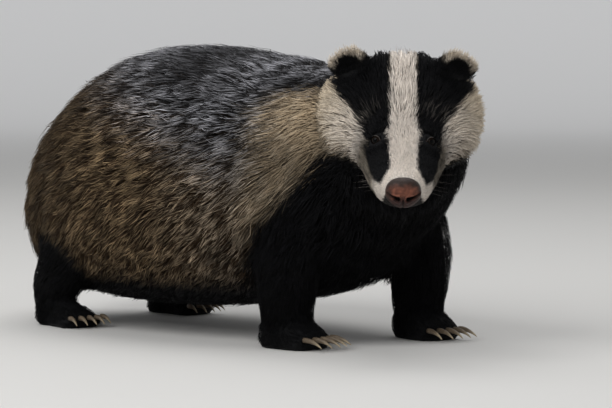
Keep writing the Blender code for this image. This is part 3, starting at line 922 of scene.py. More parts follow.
def plan_coat(points, normals):
    """What the coat is at each point: its forms, region and depth, its strands' length, width and density."""
    weights, reads = form_weights(points)
    depth = coat_depth(points, weights, reads) + CROWN_EXTRA * crown_rise(points)
    codes = np.array([REGIONS.index(region_of(name)) for name in FORMS])
    region = codes[home_form(weights)]
    short = is_in(region, "head") & (depth < SHORT_DEPTH)
    region = np.where(short, REGIONS.index("face"), region)
    length = np.maximum(depth, SHORTEST_DEPTH) * np.interp(depth, *STRAND_REACH)
    width = np.interp(depth, *STRAND_WIDTH)
    cover = np.interp(depth, *STRAND_COVER)
    local = unrotate(points, HEAD_FRAME)
    jaw = ramp(-local[:, 2], 0.008, 0.016) * fall(local[:, 0], 0.036, 0.050)
    length *= 1.0 + 0.7 * jaw * is_in(region, "face")
    for on, ear in ear_nearness(points):
        edge = np.sqrt((ear[:, 1] / EAR_HALF[1]) ** 2 + (ear[:, 2] / EAR_HALF[2]) ** 2)
        fringe = ramp(edge, 0.45, 0.75) * ramp(ear[:, 2], -0.006, 0.004)
        length = blend(length, 0.0050 + 0.0068 * fringe, on)
        width = blend(width, EAR_STRAND, on)
        inside = ramp(ear[:, 0], 0.0, 0.002) * fall(edge, 0.55, 0.75)
        cover = blend(cover, 6.0 - 3.5 * inside + 5.0 * fringe, on)
        region = np.where(on > 0.5, REGIONS.index("ears"), region)
    cover *= np.select([is_in(region, "legs"), is_in(region, "feet")], [LEG_COVER, FOOT_COVER], 1.0)
    cover *= 1.0 - 0.5 * ramp(-normals[:, 2], 0.5, 0.9) * (points[:, 2] < 0.08)
    return {
        "weights": weights,
        "reads": reads,
        "region": region,
        "depth": depth,
        "length": length,
        "width": width,
        "density": cover / (length * width) * bare_places(points),
    }


def scatter(points, normals, triangles, density, draw):
    """Roots spread over the skin by chance, as thick as the density says, with their normals."""
    a, b, c = points[triangles[:, 0]], points[triangles[:, 1]], points[triangles[:, 2]]
    area = np.linalg.norm(np.cross(b - a, c - a), axis=1) / 2.0
    wanted = area * density[triangles].mean(1)
    count = np.floor(wanted + draw.random(len(wanted))).astype(int)
    pick = np.repeat(np.arange(len(triangles)), count)
    first = np.sqrt(draw.random(len(pick)))
    second = draw.random(len(pick))
    share = np.stack((1.0 - first, first * (1.0 - second), first * second), 1)[:, :, None]
    corners = triangles[pick]
    return (points[corners] * share).sum(1), unit((normals[corners] * share).sum(1))


# The forms whose outline holds each region's coat in, and the least height of a bend over the floor
NEAR_FORMS = {
    "trunk": ["trunk", "neck", "tail"] + [name for name in LIMBS if name.startswith("leg")],
    "neck": ["head", "neck", "trunk"],
    "head": ["head", "neck"],
    "face": ["head", "neck"],
    "tail": ["tail", "trunk"],
    "legs": LIMBS + ["trunk"],
}
FLOOR_GAP = 0.0010


def hold_in(points, region, limit):
    """Draw points back to the outline of the coat, times the limit given, and lift them off the floor."""
    held = points.copy()
    for kind, names in NEAR_FORMS.items():
        chosen = np.flatnonzero(is_in(region, kind))
        if not len(chosen):
            continue
        part = points[chosen]
        best = np.full(len(part), np.inf)
        axis = np.zeros_like(part)
        for name in names:
            read = FORMS[name].read(part)
            closer = read.far < best
            best = np.where(closer, read.far, best)
            axis[closer] = FORMS[name].path[read.ring[closer]]
        over = np.maximum(best / limit[chosen], 1.0)
        held[chosen] = axis + (part - axis) / over[:, None]
    held[:, 2] = np.maximum(held[:, 2], FLOOR_GAP)
    return held


def gather(roots, lines, size, pull, seed):
    """Draw strands together into locks: those of one cell bend towards the mean line of the cell."""
    warp = np.stack([wave_noise(roots, 0.030, seed + i) for i in range(3)], 1)
    cells = np.floor((roots + warp * size[:, None]) / size[:, None])
    cells = np.column_stack((cells, np.round(size * 1e4)))
    _, member, count = np.unique(cells.astype(int), axis=0, return_inverse=True, return_counts=True)
    member = member.ravel()
    share = (pull * np.minimum(count[member] / 3.0, 1.0))[:, None]
    drawn = []
    for line, part in zip(lines, (0.25, 0.65, 1.0)):
        mean = np.stack([np.bincount(member, line[:, i]) for i in range(3)], 1) / count[:, None]
        drawn.append(line + (mean[member] - line) * share * part)
    return drawn, member


# A strand runs from a pointed root through one or two rings of three points to a pointed tip
FIRST_BEND = 0.42
SECOND_BEND = 0.72
RING_WIDTH = (1.0, 0.82)
PATCH = 0.003


def strand_pattern(rings):
    """A strand's faces, and each of its points' place along it and across it, from 0 to 1."""
    side = np.arange(3)
    near = 1 + side
    near_next = 1 + (side + 1) % 3
    faces = [np.stack((near_next, near, np.zeros(3, int)), 1)]
    for ring in range(rings - 1):
        a, b = near + 3 * ring, near_next + 3 * ring
        faces += [np.stack((a, b, b + 3), 1), np.stack((a, b + 3, a + 3), 1)]
    last = 3 * (rings - 1)
    faces.append(np.stack((near + last, near_next + last, np.full(3, 3 * rings + 1)), 1))
    along = np.concatenate(([0.0], np.repeat((FIRST_BEND, SECOND_BEND)[:rings], 3), [1.0]))
    across = np.concatenate(([0.5], np.tile((1.0, 0.5, 0.0), rings), [0.5]))
    return np.concatenate(faces), along, across


# Sizes of the locks that strands gather into, for strands spaced wider than each spacing given, how deep
# a root is sunk, and the shares of strands that stray and that are dark guard hairs
LOCK_SPACING = (0.0060, 0.0038, 0.0026)
LOCK_SIZE = (0.0080, 0.0050, 0.0034)
LEAST_LOCK = 0.0024
ROOT_SINK = 0.0008
STRAY_SHARE = 0.12
GUARD_SHARE = 0.12
# How strands vary, each by chance and in smooth drifts over the skin: their turn, bend and curl in
# radians, and their length as a share; and how strongly wide and narrow locks draw them in
TURN_CHANCE, TURN_DRIFT = 0.13, 0.16
LENGTH_CHANCE, LENGTH_DRIFT = 0.16, 0.15
BEND_CHANCE, BEND_DRIFT = 0.13, 0.32
CURL_CHANCE, CURL_DRIFT = 0.24, 0.45
END_LIFT, END_CHANCE = 0.04, 0.10
LEAST_STEEP, MOST_STEEP = 0.12, 0.92
WIDE_PULL, LOCK_PULL = 0.22, 0.66
# How light strands are: in all, by chance, and by chance for a whole lock, which is kept from glaring
COAT_TONE = 0.94
STRAND_CHANCE = 0.15
LOCK_CHANCE = 0.42
LOCK_MOST = 0.75
EDGE_ROUGH = 0.0008


def strand_lines(roots, normals, plan, crown, draw):
    """Each strand's root and three bends, its side, how long-haired it is, and how sleek.

    A line leaves the skin steeply, lies down along the coat after its first bend, and curls sideways
    after its second.
    """
    region, depth = plan["region"], plan["depth"]
    count = len(roots)
    flow = lie_of_coat(roots, normals, plan["weights"], plan["reads"])
    side = np.cross(normals, flow)
    turn = draw.normal(0.0, TURN_CHANCE, count) * (1.0 + 1.2 * is_in(region, "ears"))
    turn += TURN_DRIFT * wave_noise(roots, 0.045, SEED + 1)
    flow = flow * np.cos(turn)[:, None] + side * np.sin(turn)[:, None]
    side = np.cross(normals, flow)

    length = plan["length"] * np.exp(draw.normal(0.0, LENGTH_CHANCE, count))
    length *= 1.0 + LENGTH_DRIFT * wave_noise(roots, 0.035, SEED + 2)
    long = ramp(depth, 0.003, 0.015)
    lift = depth * draw.uniform(0.60, 1.0, count)
    rise = np.radians(draw.uniform(2.0, 10.0, count)) + 0.5 * crown
    steep = (lift - (1.0 - FIRST_BEND) * length * np.sin(rise)) / (FIRST_BEND * length)
    steep = np.arcsin(np.clip(steep, LEAST_STEEP, MOST_STEEP))
    sleek = np.clip(plan["weights"]["neck"] + plan["weights"]["head"], 0.0, 1.0)
    wavy = long * (1.0 - 0.62 * sleek)
    bend = BEND_DRIFT * wave_noise(roots, 0.016, SEED + 12) + draw.normal(0.0, BEND_CHANCE, count)
    bend = wavy * bend
    curl = CURL_DRIFT * wave_noise(roots, 0.011, SEED + 13) + draw.normal(0.0, CURL_CHANCE, count)
    curl = bend + wavy * curl
    end_rise = rise + long * draw.normal(END_LIFT, END_CHANCE, count)
    lines = [roots - normals * ROOT_SINK]
    angles = ((np.zeros(count), steep), (bend, rise), (curl, end_rise))
    shares = (FIRST_BEND, SECOND_BEND - FIRST_BEND, 1.0 - SECOND_BEND)
    for (sideways, upwards), share in zip(angles, shares):
        level = flow * np.cos(sideways)[:, None] + side * np.sin(sideways)[:, None]
        step = level * np.cos(upwards)[:, None] + normals * np.sin(upwards)[:, None]
        lines.append(lines[-1] + (share * length)[:, None] * step)
    return lines, side, long, sleek


def grow_strands(fullness):
    """Every strand of the coat, as arrays: its line, its half width, colours, patch and region.

    Strands near each other are drawn together into locks, first loosely into wide ones and then
    closely into narrow ones, and no strand stands far outside the outline of the coat.
    """
    skin = bpy.data.objects["skin"]
    draw = np.random.default_rng(SEED)
    points, normals, triangles = mesh_arrays(skin.data)
    density = plan_coat(points, normals)["density"] * fullness
    roots, normals = scatter(points, normals, triangles, density, draw)
    plan = plan_coat(roots, normals)
    region, depth = plan["region"], plan["depth"]
    count = len(roots)
    crown = crown_rise(roots)
    lines, side, long, sleek = strand_lines(roots, normals, plan, crown, draw)

    loose = 0.04 + 0.05 * ramp(depth, 0.008, 0.015) + 0.10 * is_in(region, "legs")
    stray = (draw.random(count) < STRAY_SHARE) * long * draw.uniform(0.2, 1.0, count)
    limit = 1.0 + loose * draw.uniform(-1.0, 1.0, count) + 0.16 * crown + 0.07 * stray
    bends = [hold_in(line, region, limit - back) for line, back in zip(lines[1:], (0.06, 0.03, 0.0))]

    spacing = np.sqrt(14.0 / np.maximum(plan["density"], 1e4))
    size = np.select([spacing > least for least in LOCK_SPACING], LOCK_SIZE, LEAST_LOCK)
    bends, _ = gather(roots, bends, size * 3.0, WIDE_PULL, SEED + 3)
    pull = LOCK_PULL * (1.0 - 0.6 * stray) * (1.0 - 0.35 * sleek)
    bends, lock = gather(roots, bends, size, pull, SEED + 6)

    rough = EDGE_ROUGH * draw.normal(0.0, 1.0, count)
    marks = markings(bends[1], normals, rough)
    root, band, tip, shade = ear_marks(roots, marks, rough)
    lock_value = np.exp(np.minimum(draw.normal(0.0, LOCK_CHANCE, lock.max() + 1), LOCK_MOST))[lock]
    value = np.exp(draw.normal(0.0, STRAND_CHANCE, count)) * lock_value
    value = COAT_TONE * value ** ((0.40 + 0.60 * long) * (1.0 - 0.72 * sleek))
    guard = draw.random(count) < GUARD_SHARE * long * (1.0 - sleek)
    tip = np.where((guard & (shade < 0.5))[:, None], band * 0.7, tip)
    half = plan["width"] * draw.uniform(0.75, 1.2, count) / 2.0
    return {
        "line": np.stack([lines[0], *bends], 1),
        "across": side * half[:, None],
        "crown": normals * (half * 0.7)[:, None],
        "root": root * value[:, None],
        "band": band * value[:, None],
        "tip": tip * value[:, None],
        "chance": draw.random(count),
        "patch": unwrap(roots, plan),
        "region": region,
    }


def unwrap(roots, plan):
    """Each root's place on an unwrap of the skin: place along its form, and angle round the form's axis."""
    place = np.zeros((len(roots), 2))
    home = home_form(plan["weights"])
    for i, name in enumerate(FORMS):
        chosen = home == i
        read = plan["reads"][name]
        round_axis = np.arctan2(read.height[chosen], read.across[chosen]) / (2.0 * np.pi) + 0.5
        spot = np.stack((read.along[chosen], round_axis), 1)
        if name in LIMBS:
            cell = divmod(LIMBS.index(name) // 2, 2)
            spot = (spot * 0.94 + 0.03 + np.array(cell)) / 2.0
        place[chosen] = spot
    for i, (on, ear) in enumerate(ear_nearness(roots)):
        chosen = is_in(plan["region"], "ears") & (on > 0.5)
        x, y, z = ear[chosen].T
        spot = np.stack((z / 0.05 + 0.5, np.arctan2(x, y) / (2.0 * np.pi) + 0.5), 1)
        spot[:, 0] = spot[:, 0] * 0.46 + 0.02 + 0.5 * i
        place[chosen] = spot
    return np.clip(place, PATCH, 1.0 - PATCH)


def triangle_mesh(name, points, triangles):
    """A mesh of triangles from arrays."""
    mesh = bpy.data.meshes.new(name)
    mesh.vertices.add(len(points))
    mesh.vertices.foreach_set("co", points.astype(np.float32).ravel())
    mesh.loops.add(triangles.size)
    mesh.loops.foreach_set("vertex_index", triangles.astype(np.int32).ravel())
    mesh.polygons.add(len(triangles))
    mesh.polygons.foreach_set("loop_start", np.arange(0, triangles.size, 3, dtype=np.int32))
    mesh.update(calc_edges=True)
    mesh.shade_smooth()
    return mesh


def coat_piece(name, strands, chosen, rings, slot, material):
    """One piece of coat: the chosen strands as closed three-sided spindles, each with its patch."""
    part = {key: value[chosen] for key, value in strands.items()}
    faces, along, across = strand_pattern(rings)
    count, size = len(chosen), len(along)
    rows = np.empty((count, size, 3))
    rows[:, 0] = part["line"][:, 0]
    for ring, share in enumerate(RING_WIDTH[:rings]):
        middle = part["line"][:, ring + 1]
        wide = part["across"] * share
        rows[:, 3 * ring + 1] = middle + wide
        rows[:, 3 * ring + 2] = middle + part["crown"] * share
        rows[:, 3 * ring + 3] = middle - wide
    rows[:, -1] = part["line"][:, -1]
    triangles = (faces[None] + size * np.arange(count)[:, None, None]).reshape(-1, 3)
    mesh = triangle_mesh(name, rows.reshape(-1, 3), triangles)
    tint = np.repeat(part["band"][:, None], size, axis=1)
    tint[:, 0] = part["root"]
    paint(mesh, tint.reshape(-1, 3))
    paint(mesh, np.repeat(part["tip"], size, axis=0), "end")
    lock = np.empty((count, size, 3))
    lock[:, :, 0] = across
    lock[:, :, 1] = along
    lock[:, :, 2] = part["chance"][:, None]
    put_values(mesh, "lock", "FLOAT_VECTOR", "vector", lock)
    corner = part["patch"][:, None, :] + PATCH * np.stack((across - 0.5, along - 0.5), 1)
    uv = mesh.uv_layers.new(name="OFBake")
    uv.data.foreach_set("uv", corner.reshape(-1, 2)[triangles.ravel()].astype(np.float32).ravel())
    fit(add_object(name, mesh), material, slot)


class Finish:
    """A new material with its shader, and ways to add nodes and link them to it."""

    def __init__(self, name, roughness, specular=0.5):
        self.material = bpy.data.materials.new(name)
        self.material.use_nodes = True
        self.tree = self.material.node_tree
        self.shader = self.tree.nodes["Principled BSDF"]
        self.set({"Roughness": roughness, "Specular IOR Level": specular})

    def put(self, node, sockets):
        """Fill a node's sockets, each with a value or with a link from another node's output."""
        for key, value in dict(sockets).items():
            if isinstance(value, bpy.types.NodeSocket):
                self.tree.links.new(value, node.inputs[key])
            else:
                node.inputs[key].default_value = value

    def set(self, sockets):
        """Fill the shader's own sockets."""
        self.put(self.shader, sockets)

    def add(self, kind, sockets=(), **values):
        """A new node with its own settings, and with its sockets filled."""
        node = self.tree.nodes.new("ShaderNode" + kind)
        for key, value in values.items():
            setattr(node, key, value)
        self.put(node, sockets)
        return node

    def own(self, name):
        """The node that reads a mesh's attribute."""
        return self.add("Attribute", attribute_name=name)

    def place(self):
        """Object coordinates."""
        return self.add("TexCoord").outputs["Object"]

    def grain(self, base, pattern, low, high, start=0.3, end=0.7):
        """Base colour: the colour given, times a pattern that is spread from low to high."""
        spread = {"Value": pattern, "From Min": start, "From Max": end, "To Min": low, "To Max": high}
        value = self.add("MapRange", spread)
        scale = self.add("VectorMath", {0: base, "Scale": value.outputs["Result"]}, operation="SCALE")
        self.set({"Base Color": scale.outputs[0]})

    def bump(self, height, strength, depth, invert=False):
        """Small relief from a pattern."""
        made = self.add("Bump", {"Height": height, "Strength": strength, "Distance": depth}, invert=invert)
        self.set({"Normal": made.outputs["Normal"]})


def fur_material():
    """Coat: root to middle colour, then tip colour, with fine hairs drawn along each lock."""
    coat = Finish("coat", 0.62, 0.09)
    lock = coat.own("lock").outputs["Vector"]
    along = coat.add("SeparateXYZ", {0: lock}).outputs["Y"]
    spread = {"Value": along, "From Min": 0.56, "From Max": 0.82}
    turn = coat.add("MapRange", spread, interpolation_type="SMOOTHSTEP").outputs["Result"]
    tint, end = coat.own("tint").outputs["Color"], coat.own("end").outputs["Color"]
    mix = coat.add("Mix", {0: turn, 6: tint, 7: end}, data_type="RGBA")
    stretch = coat.add("VectorMath", {0: lock, 1: (5.0, 1.5, 90.0)}, operation="MULTIPLY")
    noise = coat.add("TexNoise", {"Vector": stretch.outputs[0], "Scale": 1.0, "Detail": 1.0})
    coat.grain(mix.outputs[2], noise.outputs["Fac"], 0.86, 1.1)
    return coat.material


def skin_material():
    """Short underfur: the colour given to the skin, the markings darkened as painted shade under the coat,
    grained, with a fine bump.
    """
    underfur = Finish("underfur", 0.8, 0.15)
    noise = underfur.add("TexNoise", {"Vector": underfur.place(), "Scale": 900.0, "Detail": 2.0})
    underfur.grain(underfur.own("tint").outputs["Color"], noise.outputs["Fac"], 0.6, 1.3)
    underfur.bump(noise.outputs["Fac"], 0.6, 0.0006)
    return underfur.material


# Colours of the eye in linear light, from its edge in to the middle of the pupil
EYE_RINGS = (
    (0.00, (0.004, 0.003, 0.002)),
    (0.74, (0.005, 0.003, 0.002)),
    (0.86, (0.009, 0.005, 0.003)),
    (0.92, (0.001, 0.001, 0.001)),
    (1.00, (0.001, 0.001, 0.001)),
)


def eye_material():
    """Dark wet eye: a near-black pupil, and a dark brown iris with fine rays, under a smooth surface."""
    eye = Finish("wet_eye", 0.05, 0.06)
    rings = eye.add("ValToRGB", {"Fac": eye.own("gaze").outputs["Fac"]})
    stops = rings.color_ramp.elements
    for place, _ in EYE_RINGS[1:-1]:
        stops.new(place)
    for stop, (_, shade) in zip(stops, EYE_RINGS):
        stop.color = (*shade, 1.0)
    rays = eye.add("TexNoise", {"Vector": eye.place(), "Scale": 1400.0, "Detail": 1.0})
    eye.grain(rings.outputs["Color"], rays.outputs["Fac"], 0.6, 1.4, start=0.0, end=1.0)
    return eye.material


def tinted_material(name, grain_size, bump_depth, roughness, specular=0.22, coat=0.0):
    """Bare skin, horn or whisker: the piece's own tint, mottled, with a bump of the given grain."""
    bare = Finish(name, roughness, specular)
    place = bare.place()
    cells = bare.add("TexVoronoi", {"Vector": place, "Scale": 1.0 / grain_size}, feature="F1")
    mottle = bare.add("TexNoise", {"Vector": place, "Scale": 0.25 / grain_size, "Detail": 3.0})
    bare.grain(bare.own("tint").outputs["Color"], mottle.outputs["Fac"], 0.75, 1.2)
    bare.bump(cells.outputs["Distance"], 0.7, bump_depth, invert=True)
    bare.set({"Coat Weight": coat, "Coat Roughness": 0.18})
    return bare.material


# The eyeball's radius, its cornea's rise over the ball, and how wide the cornea is in radians
BALL = EYE_RADIUS * 0.97
CORNEA_RISE = 0.07
CORNEA_WIDTH = 0.5


def eye_basis(side):
    """An eye's middle and its own axes: along the lids, up across them, and out along the gaze."""
    middle = np.array(HEAD_FRAME @ Vector(mirrored(EYE_PLACE, side)))
    gaze = HEAD_FRAME.to_3x3() @ Vector(mirrored(EYE_GAZE, side))
    upward = HEAD_FRAME.to_3x3() @ Vector((-0.20, 0.0, 1.0))
    inward = gaze.cross(upward).normalized() * side
    upward = inward.cross(gaze).normalized() * side
    return middle, np.array(inward), np.array(upward), np.array(gaze)


def make_eye(side, material):
    """An eyeball: a sphere whose pole is the gaze, r = R (1 + c exp(-(v / w)^2)) for the cornea."""
    middle, inward, upward, gaze = eye_basis(side)
    v = np.linspace(0.0, np.pi, 34)[1:-1]
    u = full_turn(48)
    radius = BALL * (1.0 + CORNEA_RISE * hill(v, 0.0, CORNEA_WIDTH))
    ring = (radius * np.sin(v))[:, None]
    rows = (
        middle
        + ring[:, :, None] * (np.cos(u)[None, :, None] * inward + np.sin(u)[None, :, None] * upward)
        + ((radius * np.cos(v))[:, None, None] * gaze) * np.ones((1, len(u), 1))
    )
    name = "eye_left" if side > 0 else "eye_right"
    made = new_piece(name + "_wet", rows, closed_faces(len(v), len(u)))
    facing = unit(mesh_arrays(made.data)[0] - middle) @ gaze
    put_values(made.data, "gaze", "FLOAT", "value", np.clip(facing, 0.0, 1.0))
    fit(made, material, "eye", name)


# Half the opening between the lids, along and across, and the radius of their outer edge
LID_HALF = (0.0049, 0.0041)
LID_OUTER = 0.0056
LOWER_LID = 0.9
# The lids' rings, from the opening out and in again underneath: share of the way to the outer edge,
# height over the ball, and how much of the rim's colour shows
LID_RINGS = (
    (-0.02, 0.0002, 0.4),
    (-0.02, 0.0006, 1.0),
    (0.05, 0.0009, 1.0),
    (0.16, 0.0010, 0.5),
    (0.40, 0.0009, 0.0),
    (0.70, 0.0006, 0.0),
    (1.00, 0.0002, 0.0),
    (1.00, -0.0010, 0.0),
)


def make_lids(side, material):
    """Both lids of an eye: a shell over the ball from an almond opening out into the fur.

    Round the gaze by an angle u, and out by a share k: the opening is x = a cos u, y = b sin u |sin u|^0.3,
    the outer edge is a circle, and each point between them lies on a sphere a lid's thickness over the ball.
    """
    middle, inward, upward, gaze = eye_basis(side)
    share, over, rim = np.array(LID_RINGS).T
    u = full_turn(64)
    open_x = LID_HALF[0] * np.cos(u)
    open_y = LID_HALF[1] * np.sin(u) * np.abs(np.sin(u)) ** 0.30
    open_y = np.where(open_y < 0.0, open_y * LOWER_LID, open_y)
    x = open_x + (LID_OUTER * np.cos(u) - open_x) * share[:, None]
    y = open_y + (LID_OUTER * np.sin(u) - open_y) * share[:, None]
    radius = (BALL + over)[:, None]
    flat = np.minimum(np.hypot(x, y) / radius, 0.985)
    scale = flat * radius / np.maximum(np.hypot(x, y), 1e-9)
    height = radius * np.sqrt(1.0 - flat**2)
    rows = (
        middle
        + (x * scale)[:, :, None] * inward
        + (y * scale)[:, :, None] * upward
        + height[:, :, None] * gaze
    )
    rings, sides = x.shape
    i = np.arange(sides)
    j = (i + 1) % sides
    last = (rings - 1) * sides
    faces = closed_faces(rings, sides)[:-2]
    faces += np.stack((i, j, last + j, last + i), 1).tolist()
    made = new_piece("lids_left" if side > 0 else "lids_right", rows, faces)
    local = mesh_arrays(made.data)[0] - middle
    along = local @ inward
    # The rim's pale colour shows along the upper arc as a painted highlight, and down the inner side as the
    # lid's own pale edge.
    above = ramp(local @ upward, 0.0002, 0.0022)
    out = np.linalg.norm(local - (local @ gaze)[:, None] * gaze, axis=1)
    lit = np.maximum(above, ramp(along, 0.0010, 0.0030)) * ramp(along, -0.004, 0.001)
    tone = blend(colour("lid"), colour("lid_rim"), np.repeat(rim, sides) * lit)
    corner = ramp(along, 0.0028, 0.0046) * (1.0 - above) * ramp(out, 0.0, 0.004) * 0.8
    paint(made.data, blend(tone, colour("lid_corner"), corner))
    fit(made, material, "face_coat")


# The nose pad: how much it is squared off and stands out over its solid, and its lower taper
NOSE_SQUARE = 0.86
NOSE_PROUD = 1.02
NOSE_TAPER = 0.20
# Each nostril: where it starts and ends from the middle, its height, its rise outwards, and its depth
NOSTRIL_INNER = 0.0040
NOSTRIL_OUTER = 0.0138
NOSTRIL_Z = -0.0013
NOSTRIL_RISE = 0.0040
NOSTRIL_DEPTH = 0.0046
NOSTRIL_HALF = 0.0023
NOSTRIL_LIP = 0.0008
GROOVE_HALF = 0.0007
GROOVE_DEPTH = 0.0013


def nose_relief(x, y, z):
    """How far each point of the pad is pressed in, and how far it bulges, in the pad's own frame.

    Each nostril is a comma: a dent along a line that starts beside the middle and rises outwards,
    narrower and shallower towards its end. A groove runs down the middle under them.
    """
    front = ramp(x, -0.003, 0.001)
    along = np.clip((y - NOSTRIL_INNER) / (NOSTRIL_OUTER - NOSTRIL_INNER), 0.0, 1.0)
    line = NOSTRIL_Z + NOSTRIL_RISE * along**1.3
    past = np.maximum(NOSTRIL_INNER - y, 0.0) / 0.0012 + np.maximum(y - NOSTRIL_OUTER, 0.0) / 0.0010
    gap = np.hypot((z - line) / (NOSTRIL_HALF - 0.0013 * along), past)
    dent = np.exp(-(gap**4)) * front
    groove = hill(y, 0.0, GROOVE_HALF) * ramp(-z, 0.000, 0.003) * front
    depth = NOSTRIL_DEPTH * (1.0 - 0.45 * along) * dent + GROOVE_DEPTH * groove
    bulge = NOSTRIL_LIP * hill(gap, 1.6, 0.45) * front
    return depth, bulge


def make_nose(material):
    """The nose pad: a squarish ellipsoid about the snout's axis, pressed in where the nostrils are."""
    rings, sides = 84, 112
    v = np.linspace(0.012, np.pi - 0.012, rings)
    u = full_turn(sides)
    spread = np.sin(v)[:, None] ** NOSE_SQUARE
    x = NOSE_HALF[0] * NOSE_PROUD * signed_power(np.cos(v), NOSE_SQUARE)[:, None] * np.ones(sides)
    y = NOSE_HALF[1] * spread * signed_power(np.cos(u), NOSE_SQUARE)
    z = NOSE_HALF[2] * spread * signed_power(np.sin(u), NOSE_SQUARE)
    y = y * (1.0 - NOSE_TAPER * ramp(-z, 0.002, 0.012))
    rows = np.stack((x, y, z), -1).reshape(-1, 3)
    place = HEAD_FRAME @ Matrix.Translation(NOSE_PLACE)
    made = new_piece("nose_pad", rotate(rows, place), closed_faces(rings, sides))
    points, normals, _ = mesh_arrays(made.data)
    x, y, z = rows.T
    y = np.abs(y)
    depth, bulge = nose_relief(x, y, z)
    move_points(made.data, points + normals * (bulge - depth)[:, None])

    rim = colour("nose_rim")
    height = -0.559 * x + 0.829 * z + 0.0012 * wave_noise(rows, 0.007, SEED + 60)
    wing = y + 0.0016 * wave_noise(rows, 0.006, SEED + 61)
    tone = blend(colour("nose_low"), colour("nose"), ramp(height, -0.0080, -0.0020))
    tone = blend(tone, rim, 0.95 * ramp(height, 0.0022, 0.0085))
    tone = blend(tone, rim, 0.85 * ramp(wing, 0.0080, 0.0150))
    tone = tone * (1.0 + 0.22 * wave_noise(rows, 0.004, SEED + 62))[:, None]
    # Painted shade in the nostrils and the middle groove: the deeper the dent, the darker.
    tone = blend(tone, colour("black") * 0.3, np.clip(depth / 0.0020, 0.0, 1.0))
    paint(made.data, tone)
    fit(made, material, "nose_skin", "nose")


# The horn of a claw against its solid, how far its tip drops and draws in, how far its root reaches into
# the toe, where it starts from the toe's middle, and how the claws fan out, in degrees
CLAW_FIT = 0.96
CLAW_DROP = 0.0062
CLAW_TAPER = 0.80
CLAW_SUNK = CLAW_ROOT * 0.6
CLAW_AHEAD = (TOE_HALF[0], 0.0, 0.002)
CLAW_FAN = 3.0


def make_claw(foot, number, material):
    """A claw: an oval section carried along an arc that bends down, drawn in towards a blunt tip."""
    length = FRONT_CLAW if foot.startswith("front") else HIND_CLAW
    across = number - (TOES - 1) / 2
    rings, sides = 16, 14
    part = np.linspace(0.0, 1.0, rings)
    u = full_turn(sides)
    axis_z = (-CLAW_DROP * part**2)[:, None]
    thin = 1.0 - CLAW_TAPER * part**1.5
    thin[-1] *= 0.45
    x = (length * (part - 0.06 * part**3))[:, None] * np.ones(sides)
    y = CLAW_HALF_WIDTH * CLAW_FIT * thin[:, None] * np.cos(u)
    z = axis_z + CLAW_HALF_HEIGHT * CLAW_FIT * thin[:, None] * np.sin(u) * (1.0 - 0.25 * (np.sin(u) < 0.0))
    x = x - 0.30 * (z - axis_z) * (part[:, None] * 2.0 * CLAW_DROP / length)
    rows = np.stack((x - CLAW_SUNK * (part[:, None] < 0.01), y, z), -1).reshape(-1, 3)
    root = Matrix.Translation(Vector(toe_middles()[number] + CLAW_AHEAD))
    place = foot_frame(foot) @ root @ Matrix.Rotation(np.radians(CLAW_FAN * across), 4, "Z")
    name = "claw_%s_%d" % (foot, number + 1)
    made = new_piece(name + "_horn", rotate(rows, place), closed_faces(rings, sides))
    shade = ramp(np.repeat(part, sides), 0.3, 1.0)
    paint(made.data, blend(colour("claw_root"), colour("claw_tip"), shade))
    fit(made, material, "claw", name)


# Whiskers: how many on a side and in a row, where the first is in the head's frame, the step back along
# a row and down to the next row, their half thickness, their length and their bend
WHISKERS = 8
WHISKER_ROW = 4
WHISKER_PLACE = np.array((0.050, 0.0165, -0.017))
WHISKER_BACK = np.array((-0.0055, 0.0013, 0.0))
WHISKER_DOWN = np.array((0.0, 0.0, -0.0052))
WHISKER_HALF = 0.00012
WHISKER_LENGTH = (0.020, 0.034)
WHISKER_BEND = np.array((-0.45, 0.0, -0.30))


def make_whiskers(material):
    """Whiskers: thin tapering tubes that leave the muzzle sideways and curve back and down."""
    draw = np.random.default_rng(SEED + 9)
    rows = []
    faces = []
    sides, rings = 4, 8
    u = full_turn(sides)[None, :, None]
    part = np.linspace(0.0, 1.0, rings)
    radius = (WHISKER_HALF * (1.0 - 0.85 * part))[:, None, None]
    for side in (1, -1):
        for i in range(WHISKERS):
            row, column = divmod(i, WHISKER_ROW)
            start = mirrored(WHISKER_PLACE, side, WHISKER_BACK * column + WHISKER_DOWN * row)
            start += draw.normal(0.0, 0.0006, 3)
            long = draw.uniform(*WHISKER_LENGTH) * (0.75 + 0.06 * column)
            way = np.array((-0.15 - 0.1 * column * 0.3, side * 1.0, -0.10 - 0.25 * row))
            way = unit(way + draw.normal(0, 0.08, 3))
            axis = start + way * (long * part)[:, None] + WHISKER_BEND * long * (part**2)[:, None]
            ahead = unit(np.gradient(axis, axis=0))
            first = unit(np.cross(ahead, np.array((0.1, 0.2, 1.0))))
            second = np.cross(ahead, first)
            ring = np.cos(u) * first[:, None, :] + np.sin(u) * second[:, None, :]
            faces += closed_faces(rings, sides, len(rows) * rings * sides)
            rows.append(axis[:, None, :] + radius * ring)
    made = new_piece("whiskers", rotate(np.array(rows).reshape(-1, 3), HEAD_FRAME), faces)
    make_outward(made)
    paint(made.data, colour("stripe") * 0.25)
    fit(made, material, "face_coat")


# The photograph's view: its size, where it looks from, and how far away
PHOTO_WIDTH = 612
FOCAL_PIXELS = 3400.0
SENSOR = 36.0
AZIMUTH = np.radians(47.0)
ELEVATION = np.radians(3.0)
DISTANCE = 3.4
LOOK_PLACE = Vector((-0.045, 0.0, 0.155))
LOOK_RIGHT = 0.080
LOOK_DOWN = 0.029


